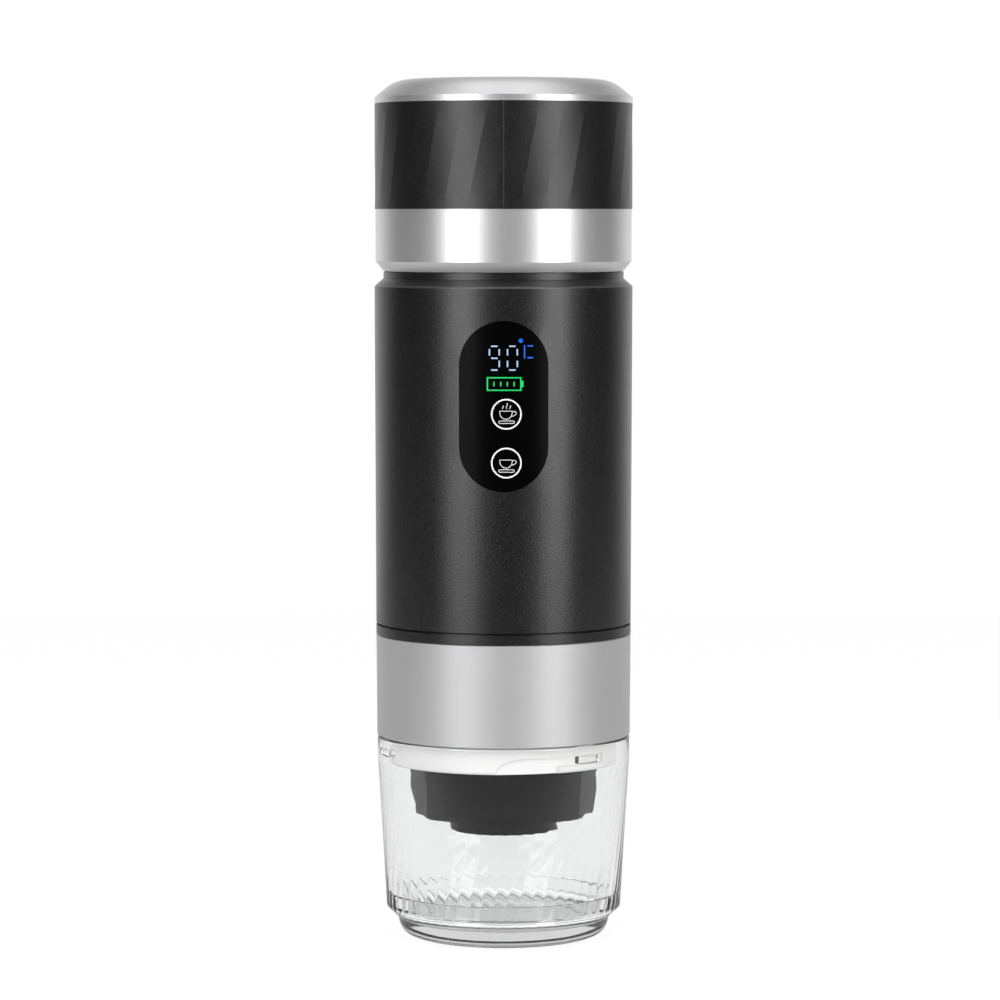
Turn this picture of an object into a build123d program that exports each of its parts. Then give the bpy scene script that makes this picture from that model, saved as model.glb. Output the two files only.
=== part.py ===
"""A portable espresso machine in millimetres: clear cup, brew unit, heated body and screw lid on one axis.

The cup's foot stands on z = 0, +Z is up, and the display on the body faces -Y.
"""

import os
from math import cos, radians, sin, sqrt, tan

from build123d import *

os.makedirs("parts", exist_ok=True)

# Clearances and cuts
fit_gap = 0.1  # radial play between fixed pieces that slot together
run_gap = 0.3  # play between pieces that move past each other
seam_gap = 0.2  # open seam between the outer pieces of two units
overrun = 6.0  # how far a cut runs past the face that it opens

# Body: an outer shell on a base with a threaded spigot, closed above by a neck
body_radius = 35.5
body_draft = 0.3
shell_wall = 1.6
shell_edge = 0.35
base_trim_height = 2.5
base_floor = 3.05
base_lip_height = 4.5
lip_wall = 2.0
groove_height = 0.3
groove_depth = 0.8
spigot_length = 11.5
spigot_wall = 2.6
shoulder_height = 2.4
shoulder_edge = 0.3
shoulder_round = 0.6
shoulder_inset = 0.05
neck_band_height = 1.8
neck_band_inset = 2.45
neck_lip_depth = 8.0
upstand_wall = 2.1
thread_room = 1.5  # radial room for a pair of meshing threads

# Frame, cells and tank stack inside the body
leg_height = 9.5
leg_radius = 3.0
leg_inset = 9.6
leg_angles = (30.0, 150.0, 270.0)
plate_height = 2.5
plate_gap = 0.4
pillar_radius = 2.5
pillar_inset = 5.6
pillar_angles = (60.0, 120.0, 200.0, 340.0)
top_plate_height = 2.0
top_plate_setback = 1.5
cell_length = 65.2
cell_share = 0.2723  # cell radius over the shell's bore
cell_gap = 0.6
cell_angles = (30.0, 90.0, 150.0)
cell_nub_radius = 2.8
cell_nub_height = 1.0
cell_edge = 0.6
pad_height = 1.95
heater_height = 3.0
heater_inset = 10.0
sensor_radius = 2.2
sensor_inset = 5.2
sensor_angle = 217.9
tank_wall = 0.8
tank_round = 3.0
tank_sunk = 12.4  # tank below the top of the neck
tank_rise = 37.6  # tank above the top of the neck
tank_rim_inset = 0.2

# Hose from the tank to the pump, and the fitting in the tank's floor
hose_share = 0.2955  # hose radius over its level run from the pump
hose_bore_share = 0.64
hose_bend_share = 0.53
hose_inset = 6.68
hose_angle = 320.7
hose_room = 1.5
barb_bore_share = 0.5
barb_length = 8.0
fitting_radius = 1.9
fitting_flange = 2.9
fitting_flange_height = 1.0
fitting_nut_height = 1.5

# Pump
pump_place = (0.0, -3.0)
pump_share = 0.3274  # pump radius over the shell's bore
pump_head_height = 10.0
pump_housing_height = 12.0
pump_housing_wall = 1.5
pump_barb_share = 0.4255  # barb length over the hose's level run
pump_port_radius = 2.0
pump_port_length = 5.0
motor_inset = 0.8
motor_height = 30.0
motor_boss_radius = 4.0
motor_boss_height = 2.0
motor_edge = 1.2
shaft_radius = 1.2
shaft_play = 0.05
shaft_length = 16.0
shaft_in_motor = 6.0
eccentric_radius = 5.0
eccentric_offset = 1.5
eccentric_height = 6.0
eccentric_gap = 1.0
link_hose_radius = 3.5
link_hose_overlap = 3.5

# Display panel and boards
panel_height = 45.8
panel_width = 23.9
panel_drop = 8.4  # panel's top edge below the top of the shell
panel_thickness = 0.95
panel_inset = 0.05
panel_ledge = 1.75
display_board_setback = 5.3
display_board_thickness = 1.2
display_board_width = 19.0
display_board_inset = 2.7
led_width = 18.0
led_height = 17.0
led_depth = 2.5
led_drop = 3.0
key_radius = 4.4
key_depth = 3.8
key_drops = (24.7, 37.7)
main_board_setback = 3.7
main_board_thickness = 1.6
main_board_width = 38.0
main_board_height = 60.0
chip_size = 9.0
chip_height = 1.2
chip_heights = (14.0, 30.0, 46.0)
header_width = 14.0
header_height = 2.5
header_level = 34.0

# Charging socket at the back and its cover
port_level = 7.0  # socket's centre above the base's floor
port_width = 8.94
port_height = 3.26
port_depth = 7.35
port_wall = 0.35
port_tongue_width = 6.7
port_tongue_height = 0.7
port_tongue_setback = 0.8
port_back_wall = 1.5
port_hole_gap = 0.25
port_hole_corner = 1.25
charge_board_thickness = 1.0
charge_board_width = 14.0
charge_board_length = 17.5
charge_board_setback = 1.1
charge_post_radius = 2.0
charge_post_x = 5.0
charge_post_inset = 5.0
cover_width = 15.0
cover_height = 7.6
cover_corner = 1.6
cover_thickness = 1.05
cover_gap = 0.2
cover_pin_radius = 0.45
cover_pin_inset = 0.55
cover_tab_length = 2.2
cover_tab_round = 0.3
cover_plug_width = 6.8
cover_plug_height = 1.6
cover_plug_depth = 0.9

# Brew head in the spigot
head_height = 8.95
head_port_radius = 2.0
head_port_bore = 1.0
head_port_length = 7.0
head_recess_depth = 2.4
screen_height = 0.6
screen_hole_radius = 0.7
screen_rings = 4
screen_margin = 2.78

# Brew unit: sleeve, chamber, white collar, basket
sleeve_height = 27.85
sleeve_draft = 0.2
sleeve_wall = 1.9
sleeve_edge = 0.25
sleeve_lip_height = 1.2
chamber_wall = 1.7
chamber_floor = 3.0
chamber_height = 21.6
chamber_top_gap = 0.15
well_wall = 2.0
well_margin = 4.0
seat_height = 2.0
seat_width = 3.2
gasket_height = 2.0
gasket_inset = 0.1
basket_flange = 1.0
basket_gap = 0.8
basket_wall = 0.6
basket_depth = 24.0
basket_round = 2.0
basket_hole_radius = 0.5
basket_rings = 5
basket_margin = 3.48
collar_drop = 7.4  # collar's lower edge below the sleeve
collar_wall = 3.3
collar_edge = 0.5

# Bayonet: lugs in the cup, grooves round the collar, angles seen from above and counted from the front
lug_count = 3
lug_angle = 44.5
lug_span = 13.0
lug_level = 2.1  # lug's underside above the collar's lower edge
lug_height = 2.0
lug_reach = 1.55
groove_play = 0.3
groove_end = 55.0
groove_mouth = (11.0, 27.5)
groove_ramp = 15.0

# Outlet cap: ten flats, a funnel and a nozzle
outlet_sides = 10
outlet_top_gap = 1.1
outlet_taper = 2.0
outlet_thread = 14.0
outlet_funnel_depth = 8.2
outlet_wall = 2.0
outlet_bore_gap = 0.4
outlet_gasket_height = 2.0
outlet_shelf = 4.8
outlet_edge = 0.8
outlet_corner = 1.2
spout_radius = 14.5
spout_wall = 2.0
spout_length = 4.2
spout_skirt_depth = 3.0
nozzle_radius = 6.0
nozzle_bore = 4.0

# Cup: stepped foot, slanted flutes and a plain rim
cup_height = 55.6
cup_seat_gap = 0.3
cup_rim_inset = 0.1
cup_rim_height = 7.4
cup_rim_draft = 0.15
cup_rim_wall = 3.15
cup_collar_gap = 0.45
cup_wall = 2.4
cup_taper = 2.35  # radius lost from the plain rim down to the step
cup_step_height = 8.0
cup_step_in = 3.0
cup_base_height = 5.2
cup_base_taper = 1.2
cup_foot_round = 2.2
cup_floor = 8.2
cup_floor_round = 4.0
cup_foot_width = 7.0
cup_recess_depth = 1.2
flute_count = 60
flute_depth = 0.3
flute_slant = 11.0
dimple_count = 6
dimple_radius = 1.4
dimple_depth = 0.5
dimple_inset = 3.7
dimple_start = 10.0

# Lid: silver ring and cap either side of a faceted grip, round a threaded liner
ring_inset = 0.3
ring_height = 17.0
ring_chamfer_height = 2.7
ring_chamfer_depth = 2.2
ring_wall = 1.4
grip_inset = 0.1
grip_sides = 32
grip_fade = 4.0
grip_slant = 11.5
grip_bulge_share = 0.4  # of the way from a true flat to the full round
grip_end_share = 0.98
liner_wall = 1.8
liner_disc = 2.5
lid_headroom = 3.05
lid_gasket_height = 2.05
cap_height = 6.5
cap_wall = 1.2
cap_round = 10.0
cap_slope = 40.0
cap_crown_inset = 9.4
cap_skirt_wall = 1.3
valve_stem_radius = 2.5
valve_brim_radius = 6.0
valve_brim_height = 1.0
valve_head_radius = 4.0
valve_head_height = 1.2

# Levels up the axis, from the cup's foot
unit_bottom = cup_height + cup_seat_gap
unit_top = unit_bottom + sleeve_height
base_bottom = unit_top + seam_gap
trim_top = base_bottom + base_trim_height
shell_bottom = trim_top + groove_height
floor_top = base_bottom + base_floor
plate_bottom = floor_top + leg_height
plate_top = plate_bottom + plate_height
cell_top = plate_top + cell_length
top_plate_top = cell_top + top_plate_height
heater_bottom = top_plate_top + pad_height
tank_bottom = heater_bottom + heater_height
neck_top = tank_bottom + tank_sunk
shoulder_top = neck_top - neck_band_height
shell_top = shoulder_top - shoulder_height
lid_bottom = neck_top + seam_gap
ring_top = lid_bottom + ring_height
upstand_top = neck_top + tank_rise
tank_top = upstand_top + tank_wall
liner_under = tank_top + lid_gasket_height
liner_top = liner_under + liner_disc
cap_bottom = liner_top + lid_headroom
lid_top = cap_bottom + cap_height
head_bottom = base_bottom - head_height
gasket_bottom = head_bottom - gasket_height
seat_top = gasket_bottom - basket_flange
chamber_top = unit_top - chamber_top_gap
chamber_bottom = chamber_top - chamber_height
well_bottom = seat_top - basket_depth - well_margin
collar_bottom = unit_bottom - collar_drop
outlet_shoulder = well_bottom - outlet_gasket_height
outlet_top = outlet_shoulder + outlet_thread
outlet_bottom = outlet_shoulder - outlet_funnel_depth
spout_bottom = outlet_bottom - spout_length
panel_top = shell_top - panel_drop
panel_middle = panel_top - panel_height / 2
port_middle = floor_top + port_level

# Radii from the outside in
shell_foot_radius = body_radius - body_draft
shell_bore = shell_foot_radius - shell_wall
lip_radius = shell_bore - fit_gap
plate_radius = shell_bore - plate_gap
leg_ring = shell_bore - leg_inset
pillar_ring = shell_bore - pillar_inset
cell_radius = cell_share * shell_bore
cell_ring = shell_bore - cell_gap - cell_radius
pump_radius = pump_share * shell_bore
motor_radius = pump_radius - motor_inset
display_board_depth = shell_bore - display_board_setback
main_board_depth = display_board_depth - main_board_setback - main_board_thickness
shoulder_radius = body_radius - shoulder_inset
neck_band_radius = body_radius - neck_band_inset
ring_radius = body_radius - ring_inset
grip_radius = body_radius - grip_inset
crown_radius = grip_radius - cap_crown_inset
lid_bore = ring_radius - ring_wall
liner_radius = lid_bore - fit_gap
liner_bore = liner_radius - liner_wall
upstand_radius = liner_bore - thread_room
upstand_bore = upstand_radius - upstand_wall
tank_radius = upstand_bore - run_gap
heater_radius = tank_radius - heater_inset
sleeve_foot_radius = shell_foot_radius - sleeve_draft
sleeve_bore = shell_foot_radius - sleeve_wall
chamber_radius = sleeve_bore - fit_gap
chamber_bore = chamber_radius - chamber_wall
spigot_radius = chamber_bore - thread_room
spigot_bore = spigot_radius - spigot_wall
head_radius = spigot_bore - fit_gap
cup_radius = sleeve_foot_radius - cup_rim_inset
cup_rim_bore = cup_radius - cup_rim_wall
flute_top_radius = cup_radius - cup_rim_draft
flute_foot_radius = flute_top_radius - cup_taper
cup_base_radius = flute_foot_radius - cup_step_in
cup_toe_radius = cup_base_radius - cup_base_taper - cup_foot_round
cup_recess_radius = cup_toe_radius - cup_foot_width
dimple_ring = cup_toe_radius - dimple_inset
collar_radius = cup_rim_bore - cup_collar_gap
collar_bore = collar_radius - collar_wall
outlet_top_radius = collar_bore - outlet_top_gap
outlet_foot_radius = outlet_top_radius - outlet_taper
outlet_bore = outlet_foot_radius * cos(radians(180 / outlet_sides)) - outlet_wall
well_radius = outlet_bore - outlet_bore_gap
well_bore = well_radius - well_wall
seat_radius = well_radius + seat_width
head_recess_radius = well_bore + run_gap
basket_radius = well_bore - basket_gap


def half_plane(angle):
    """The upright half plane through the axis at an angle from +X."""
    turn = radians(angle)
    return Plane(origin=(0, 0, 0), x_dir=(cos(turn), sin(turn), 0), z_dir=(sin(turn), -cos(turn), 0))


def turned(*points, start=0.0, arc=360.0, mode=Mode.ADD):
    """Turn a closed outline of (radius, height) points about the axis, into the part being built."""
    with BuildSketch(half_plane(start)) as outline:
        with BuildLine():
            Polyline(*points, close=True)
        make_face()
    revolve(outline.sketch, axis=Axis.Z, revolution_arc=arc, mode=mode)


def ring(inner, outer, bottom, top, start=0.0, arc=360.0, mode=Mode.ADD):
    """A plain ring, or part of one, between two radii and two levels."""
    corners = ((inner, bottom), (outer, bottom), (outer, top), (inner, top))
    turned(*corners, start=start, arc=arc, mode=mode)


def pot(foot_radius, round_radius, bottom, *wall, mode=Mode.ADD):
    """Turn a pot's outline: a floor, a rounded corner, and a wall up through (radius, height) points."""
    top = wall[-1][1]
    with BuildSketch(Plane.XZ) as outline:
        with BuildLine():
            Polyline((0, bottom), (foot_radius, bottom), *wall, (0, top), close=True)
        make_face()
        fillet(outline.vertices().group_by(Axis.Y)[0].sort_by(Axis.X)[-1], round_radius)
    revolve(outline.sketch, axis=Axis.Z, mode=mode)


def post(place, radius, bottom, top, mode=Mode.ADD):
    """An upright round post at a place in plan."""
    with BuildSketch(Plane.XY.offset(bottom)) as section:
        with Locations(place):
            Circle(radius)
    extrude(section.sketch, amount=top - bottom, mode=mode)


def holed(level, thickness, hole_radius, rings, reach):
    """Pierce a level disc with rings of round holes, out to a ring of the given radius."""
    pitch = reach / rings
    with BuildSketch(Plane.XY.offset(level)) as holes:
        Circle(hole_radius)
        for step in range(1, rings + 1):
            with PolarLocations(step * pitch, 6 * step):
                Circle(hole_radius)
    extrude(holes.sketch, amount=thickness, mode=Mode.SUBTRACT)


def on_circle(radius, angle):
    """The place in plan at a radius and an angle from +X."""
    return (radius * cos(radians(angle)), radius * sin(radians(angle)))


def write(piece, name):
    """Label a finished piece and write it under its name."""
    piece.part.label = name
    export_step(piece.part, f"parts/{name}.step")


# Lid cap: a shallow dome on a straight rim, with a skirt that stands on the liner
def cap_outline(radius, round_radius, flat_top, foot):
    """Half section of the dome: flat crown, round, slope and straight rim."""
    with BuildSketch(Plane.XZ) as section:
        with BuildLine():
            crown = Line((0, flat_top), (crown_radius, flat_top))
            bend = JernArc(crown @ 1, (1, 0), round_radius, -cap_slope)
            shoulder = (bend @ 1).Y - (radius - (bend @ 1).X) * tan(radians(cap_slope))
            Polyline(bend @ 1, (radius, shoulder), (radius, foot), (0, foot), (0, flat_top))
        make_face()
    return section.sketch


with BuildPart() as lid_cap:
    revolve(cap_outline(grip_radius, cap_round, lid_top, cap_bottom), axis=Axis.Z)
    hollow = cap_outline(grip_radius - cap_wall, cap_round - cap_wall, lid_top - cap_wall, cap_bottom)
    revolve(hollow, axis=Axis.Z, mode=Mode.SUBTRACT)
    ring(liner_radius - cap_skirt_wall, liner_radius, liner_top, cap_bottom + cap_wall)
    ring(liner_radius - cap_skirt_wall, grip_radius, cap_bottom, cap_bottom + cap_wall)
write(lid_cap, "lid_cap")

# Lid grip: a tube whose outside is ground into slanted, slightly bulging flats that fade out above and below
grip_height = cap_bottom - ring_top
grip_twist = tan(radians(grip_slant)) / radians(1) / grip_radius  # degrees per unit of height
grip_half_side = 180 / grip_sides
grip_flat_radius = grip_radius * cos(radians(grip_half_side))


def grip_outline(rise, share):
    """Ring of bulging sides at one height of the grip, the rounder the larger the share."""
    middle_radius = grip_flat_radius + share * (grip_radius - grip_flat_radius)
    turn = (rise - grip_height / 2) * grip_twist - 90
    with BuildSketch(Plane.XY.offset(ring_top + rise)) as outline:
        with BuildLine():
            for side in range(grip_sides):
                angle = turn + 2 * side * grip_half_side
                ThreePointArc(
                    on_circle(grip_radius, angle),
                    on_circle(middle_radius, angle + grip_half_side),
                    on_circle(grip_radius, angle + 2 * grip_half_side),
                )
        make_face()
    return outline.sketch


with BuildPart() as lid_grip:
    loft(
        (
            grip_outline(0, grip_end_share),
            grip_outline(grip_fade, grip_bulge_share),
            grip_outline(grip_height / 2, grip_bulge_share),
            grip_outline(grip_height - grip_fade, grip_bulge_share),
            grip_outline(grip_height, grip_end_share),
        ),
        ruled=True,
    )
    ring(0, lid_bore, ring_top, cap_bottom, mode=Mode.SUBTRACT)
write(lid_grip, "lid_grip")

# Lid ring: its lower edge is cut back to a lip that carries the liner
chamfer_top = lid_bottom + ring_chamfer_height
with BuildPart() as lid_ring:
    turned(
        (liner_bore, lid_bottom),
        (ring_radius - ring_chamfer_depth, lid_bottom),
        (ring_radius, chamfer_top),
        (ring_radius, ring_top),
        (lid_bore, ring_top),
        (lid_bore, chamfer_top),
        (liner_bore, chamfer_top),
    )
write(lid_ring, "lid_ring")

# Lid liner: the threaded inner cup, closed above by a disc with a vent hole
with BuildPart() as lid_liner:
    ring(liner_bore, liner_radius, chamfer_top, liner_top)
    ring(valve_stem_radius + fit_gap, liner_radius, liner_under, liner_top)
write(lid_liner, "lid_liner")

# Lid gasket: lies on the tank's rim under the liner
with BuildPart() as lid_gasket:
    ring(tank_radius - tank_wall, liner_bore - run_gap, tank_top, liner_under)
write(lid_gasket, "lid_gasket")

# Vent valve: an umbrella valve through the liner's disc
with BuildPart() as vent_valve:
    ring(0, valve_brim_radius, liner_under - valve_brim_height, liner_under)
    ring(0, valve_stem_radius, liner_under, liner_top)
    ring(0, valve_head_radius, liner_top, liner_top + valve_head_height)
write(vent_valve, "vent_valve")

# Neck ring: shoulder, neck band and tall threaded upstand, with a lip inside the shell
with BuildPart() as neck_ring:
    turned(
        (lip_radius - lip_wall, shell_top - neck_lip_depth),
        (lip_radius, shell_top - neck_lip_depth),
        (lip_radius, shell_top),
        (shoulder_radius, shell_top),
        (shoulder_radius, shell_top + shoulder_edge),
        (neck_band_radius, shoulder_top),
        (neck_band_radius, neck_top),
        (upstand_radius, neck_top),
        (upstand_radius, upstand_top),
        (upstand_bore, upstand_top),
        (upstand_bore, shell_top),
        (lip_radius - lip_wall, shell_top),
    )
    fillet(neck_ring.edges().filter_by(GeomType.CIRCLE).group_by(Axis.Z)[2], shoulder_round)
write(neck_ring, "neck_ring")

# Hose run: straight down from the tank, one bend, and level to the side of the pump
hose_place = on_circle(tank_radius - hose_inset, hose_angle)
hose_run = Vector(hose_place[0] - pump_place[0], hose_place[1] - pump_place[1])
hose_level_run = hose_run.length - pump_radius - fit_gap
hose_radius = hose_share * hose_level_run
hose_bore = hose_bore_share * hose_radius
hose_bend = hose_bend_share * hose_level_run
barb_radius = hose_bore - fit_gap
barb_bore = barb_bore_share * barb_radius

# Water tank: a drawn steel pot hung by its rim on the upstand
tank_floor = tank_bottom + tank_wall
with BuildPart() as water_tank:
    pot(tank_radius, tank_round, tank_bottom, (tank_radius, tank_top))
    ring(0, upstand_radius - tank_rim_inset, upstand_top, tank_top)
    bore = tank_radius - tank_wall
    pot(bore, tank_round - tank_wall, tank_floor, (bore, tank_top + overrun), mode=Mode.SUBTRACT)
    post(hose_place, fitting_radius + fit_gap, tank_bottom - overrun, tank_bottom + overrun, Mode.SUBTRACT)
write(water_tank, "water_tank")

with BuildPart() as tank_heater:
    ring(0, heater_radius, heater_bottom, tank_bottom)
write(tank_heater, "tank_heater")

with BuildPart() as heater_pad:
    ring(0, heater_radius, top_plate_top, heater_bottom)
write(heater_pad, "heater_pad")

with BuildPart() as temp_sensor:
    post(on_circle(tank_radius - sensor_inset, sensor_angle), sensor_radius, heater_bottom, tank_bottom)
write(temp_sensor, "temp_sensor")

# Tank outlet: flange inside the tank, nut below it and a barb for the hose
nut_bottom = tank_bottom - fitting_nut_height
with BuildPart() as tank_outlet:
    post(hose_place, fitting_flange, tank_floor, tank_floor + fitting_flange_height)
    post(hose_place, fitting_radius, tank_bottom, tank_floor)
    post(hose_place, fitting_flange, nut_bottom, tank_bottom)
    post(hose_place, barb_radius, nut_bottom - barb_length, nut_bottom)
    post(hose_place, barb_bore, nut_bottom - overrun - barb_length, tank_top, Mode.SUBTRACT)
write(tank_outlet, "tank_outlet")


# Display panel: a window with round ends that follows the shell
def window(shrink):
    """Prism of the window through the front wall, drawn in by a margin all round."""
    with BuildSketch(Plane.XZ) as outline:
        with Locations((0, panel_middle)):
            SlotOverall(panel_height - 2 * shrink, panel_width - 2 * shrink, rotation=90)
    return outline.sketch


ledge_radius = body_radius - panel_inset - panel_thickness
with BuildPart() as display_panel:
    extrude(window(fit_gap), amount=body_radius + overrun)
    ring(ledge_radius, body_radius - panel_inset, shell_bottom, shell_top, mode=Mode.INTERSECT)
write(display_panel, "display_panel")

# Pocket in the back wall for the socket's cover
cover_inner_radius = shell_foot_radius - cover_thickness
pocket_radius = cover_inner_radius - cover_gap


def back_block(left, right, height, corner):
    """Rounded outline on the back of the shell, about the socket's level."""
    with BuildSketch(Plane.XZ) as outline:
        with Locations(((left + right) / 2, port_middle)):
            RectangleRounded(right - left, height, corner)
    return outline.sketch


with BuildPart() as cover_pocket:
    pocket_side = cover_width / 2 + cover_gap
    pocket_height = cover_height + 2 * cover_gap
    pocket = back_block(-pocket_side, pocket_side, pocket_height, cover_corner + cover_gap)
    extrude(pocket, amount=-body_radius - overrun)
    ring(pocket_radius, body_radius + overrun, shell_bottom, shell_top, mode=Mode.INTERSECT)

with BuildPart() as panel_pocket:
    extrude(window(0), amount=body_radius + overrun)
    ring(ledge_radius, body_radius + overrun, shell_bottom, shell_top, mode=Mode.INTERSECT)

# Body shell: a drafted tube with the panel's pocket in front and the socket's pocket behind
with BuildPart() as body_shell:
    turned(
        (shell_bore, shell_bottom),
        (shell_foot_radius - shell_edge, shell_bottom),
        (shell_foot_radius, shell_bottom + shell_edge),
        (body_radius, shell_top),
        (shell_bore, shell_top),
    )
    add(panel_pocket.part, mode=Mode.SUBTRACT)
    extrude(window(panel_ledge), amount=body_radius + overrun, mode=Mode.SUBTRACT)
    add(cover_pocket.part, mode=Mode.SUBTRACT)
    hole_side = port_width / 2 + port_hole_gap
    hole_height = port_height + 2 * port_hole_gap
    socket_hole = back_block(-hole_side, hole_side, hole_height, port_hole_corner)
    extrude(socket_hole, amount=-body_radius - overrun, mode=Mode.SUBTRACT)
write(body_shell, "body_shell")

# Base: floor, trim ring and groove under the shell, and the threaded spigot below
charge_board_top = port_middle - port_height / 2
charge_board_bottom = charge_board_top - charge_board_thickness
port_mouth = pocket_radius - fit_gap
charge_board_back = port_mouth - charge_board_setback
charge_board_front = charge_board_back - charge_board_length
with BuildPart() as body_base:
    turned(
        (0, base_bottom),
        (spigot_bore, base_bottom),
        (spigot_bore, base_bottom - spigot_length),
        (spigot_radius, base_bottom - spigot_length),
        (spigot_radius, base_bottom),
        (shell_foot_radius, base_bottom),
        (shell_foot_radius, trim_top),
        (shell_foot_radius - groove_depth, trim_top),
        (shell_foot_radius - groove_depth, shell_bottom),
        (lip_radius, shell_bottom),
        (lip_radius, shell_bottom + base_lip_height),
        (lip_radius - lip_wall, shell_bottom + base_lip_height),
        (lip_radius - lip_wall, floor_top),
        (0, floor_top),
    )
    for side in (-1, 1):
        place = (side * charge_post_x, charge_board_front + charge_post_inset)
        post(place, charge_post_radius, floor_top, charge_board_bottom)
    post(pump_place, head_port_radius + fit_gap, base_bottom - overrun, floor_top + overrun, Mode.SUBTRACT)
write(body_base, "body_base")

# Charging socket: an open steel tube with a tongue, on a small board
with BuildPart() as charge_board:
    with BuildSketch(Plane.XY.offset(charge_board_bottom)):
        with Locations((0, charge_board_back - charge_board_length / 2)):
            Rectangle(charge_board_width, charge_board_length)
    extrude(amount=charge_board_thickness)
write(charge_board, "charge_board")

with BuildPart() as charge_port:
    with BuildSketch(Plane.XZ.offset(-port_mouth)):
        with Locations((0, port_middle)):
            SlotOverall(port_width, port_height)
            SlotOverall(port_width - 2 * port_wall, port_height - 2 * port_wall, mode=Mode.SUBTRACT)
    extrude(amount=port_depth)
    with BuildSketch(Plane.XZ.offset(port_depth - port_mouth)):
        with Locations((0, port_middle)):
            SlotOverall(port_width, port_height)
    extrude(amount=-port_back_wall)
    with BuildSketch(Plane.XZ.offset(port_depth - port_mouth)):
        with Locations((0, port_middle)):
            Rectangle(port_tongue_width, port_tongue_height)
    extrude(amount=port_tongue_setback - port_depth)
write(charge_port, "charge_port")

# Socket cover: a curved flap with a hinge barrel at its right end and a plug for the socket
cover_middle_radius = cover_inner_radius + cover_thickness / 2
cover_pin_x = cover_width / 2 - cover_pin_inset
cover_pin_y = sqrt(cover_middle_radius**2 - cover_pin_x**2)
with BuildPart() as port_cover:
    pin_reach = cover_height / 2 - cover_corner
    tab_start = cover_pin_x - cover_tab_length
    flap = back_block(-cover_width / 2, tab_start, cover_height, cover_corner)
    extrude(flap, amount=-body_radius)
    tab = back_block(tab_start - cover_corner, cover_pin_x, 2 * pin_reach, cover_tab_round)
    extrude(tab, amount=-body_radius)
    ring(cover_inner_radius, shell_foot_radius, shell_bottom, shell_top, mode=Mode.INTERSECT)
    pin_place = (cover_pin_x, cover_pin_y)
    post(pin_place, cover_pin_radius, port_middle - pin_reach, port_middle + pin_reach)
    with BuildSketch(Plane.XZ.offset(-cover_middle_radius)) as plug:
        with Locations((0, port_middle)):
            SlotOverall(cover_plug_width, cover_plug_height)
    extrude(plug.sketch, amount=cover_thickness / 2 + cover_gap + cover_plug_depth)
write(port_cover, "port_cover")

# Display board with its light block and two touch pads behind the panel
board_front = display_board_depth + display_board_thickness
with BuildPart() as display_board:
    with BuildSketch(Plane.XZ.offset(display_board_depth)):
        with Locations((0, panel_middle)):
            Rectangle(display_board_width, panel_height - 2 * display_board_inset)
    extrude(amount=display_board_thickness)
write(display_board, "display_board")

with BuildPart() as led_display:
    with BuildSketch(Plane.XZ.offset(board_front)):
        with Locations((0, panel_top - led_drop - led_height / 2)):
            Rectangle(led_width, led_height)
    extrude(amount=led_depth)
write(led_display, "led_display")

with BuildPart() as touch_pads:
    with BuildSketch(Plane.XZ.offset(board_front)):
        with Locations(*((0, panel_top - drop) for drop in key_drops)):
            Circle(key_radius)
    extrude(amount=key_depth)
write(touch_pads, "touch_pads")

# Main board: chips on its rear face and a header through to the display board
with BuildPart() as main_board:
    with BuildSketch(Plane.XZ.offset(main_board_depth)):
        with Locations((0, plate_top + main_board_height / 2)):
            Rectangle(main_board_width, main_board_height)
    extrude(amount=main_board_thickness)
    with BuildSketch(Plane.XZ.offset(main_board_depth)):
        with Locations(*((0, plate_top + height) for height in chip_heights)):
            Rectangle(chip_size, chip_size)
    extrude(amount=-chip_height)
    with BuildSketch(Plane.XZ.offset(main_board_depth + main_board_thickness)):
        with Locations((0, plate_top + header_level)):
            Rectangle(header_width, header_height)
    extrude(amount=main_board_setback)
write(main_board, "main_board")

# Frame: a plate on legs that carries cells and pump, pillars, and a top plate under the heater
with BuildPart() as frame_base:
    ring(0, plate_radius, plate_bottom, plate_top)
    for angle in leg_angles:
        post(on_circle(leg_ring, angle), leg_radius, floor_top, plate_bottom)
    for angle in pillar_angles:
        post(on_circle(pillar_ring, angle), pillar_radius, plate_top, cell_top)
    hole_radius = pump_port_radius + run_gap
    post(pump_place, hole_radius, plate_bottom - overrun, plate_top + overrun, Mode.SUBTRACT)
write(frame_base, "frame_base")

with BuildPart() as frame_top:
    ring(0, plate_radius, cell_top, top_plate_top)
    with BuildSketch(Plane.XY.offset(cell_top)) as front_cut:
        with Locations((0, top_plate_setback - main_board_depth)):
            Rectangle(2 * body_radius, body_radius, align=(Align.CENTER, Align.MAX))
    extrude(front_cut.sketch, amount=top_plate_height, mode=Mode.SUBTRACT)
    post(hose_place, hose_radius + hose_room, cell_top, top_plate_top, Mode.SUBTRACT)
write(frame_top, "frame_top")

# Battery: three round cells, each with a raised terminal
cell_can_top = cell_top - cell_nub_height
with BuildPart() as battery_cells:
    for angle in cell_angles:
        post(on_circle(cell_ring, angle), cell_radius, plate_top, cell_can_top)
    fillet(battery_cells.edges().group_by(Axis.Z)[-1], cell_edge)
    for angle in cell_angles:
        post(on_circle(cell_ring, angle), cell_nub_radius, cell_can_top, cell_top)
write(battery_cells, "battery_cells")

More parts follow.
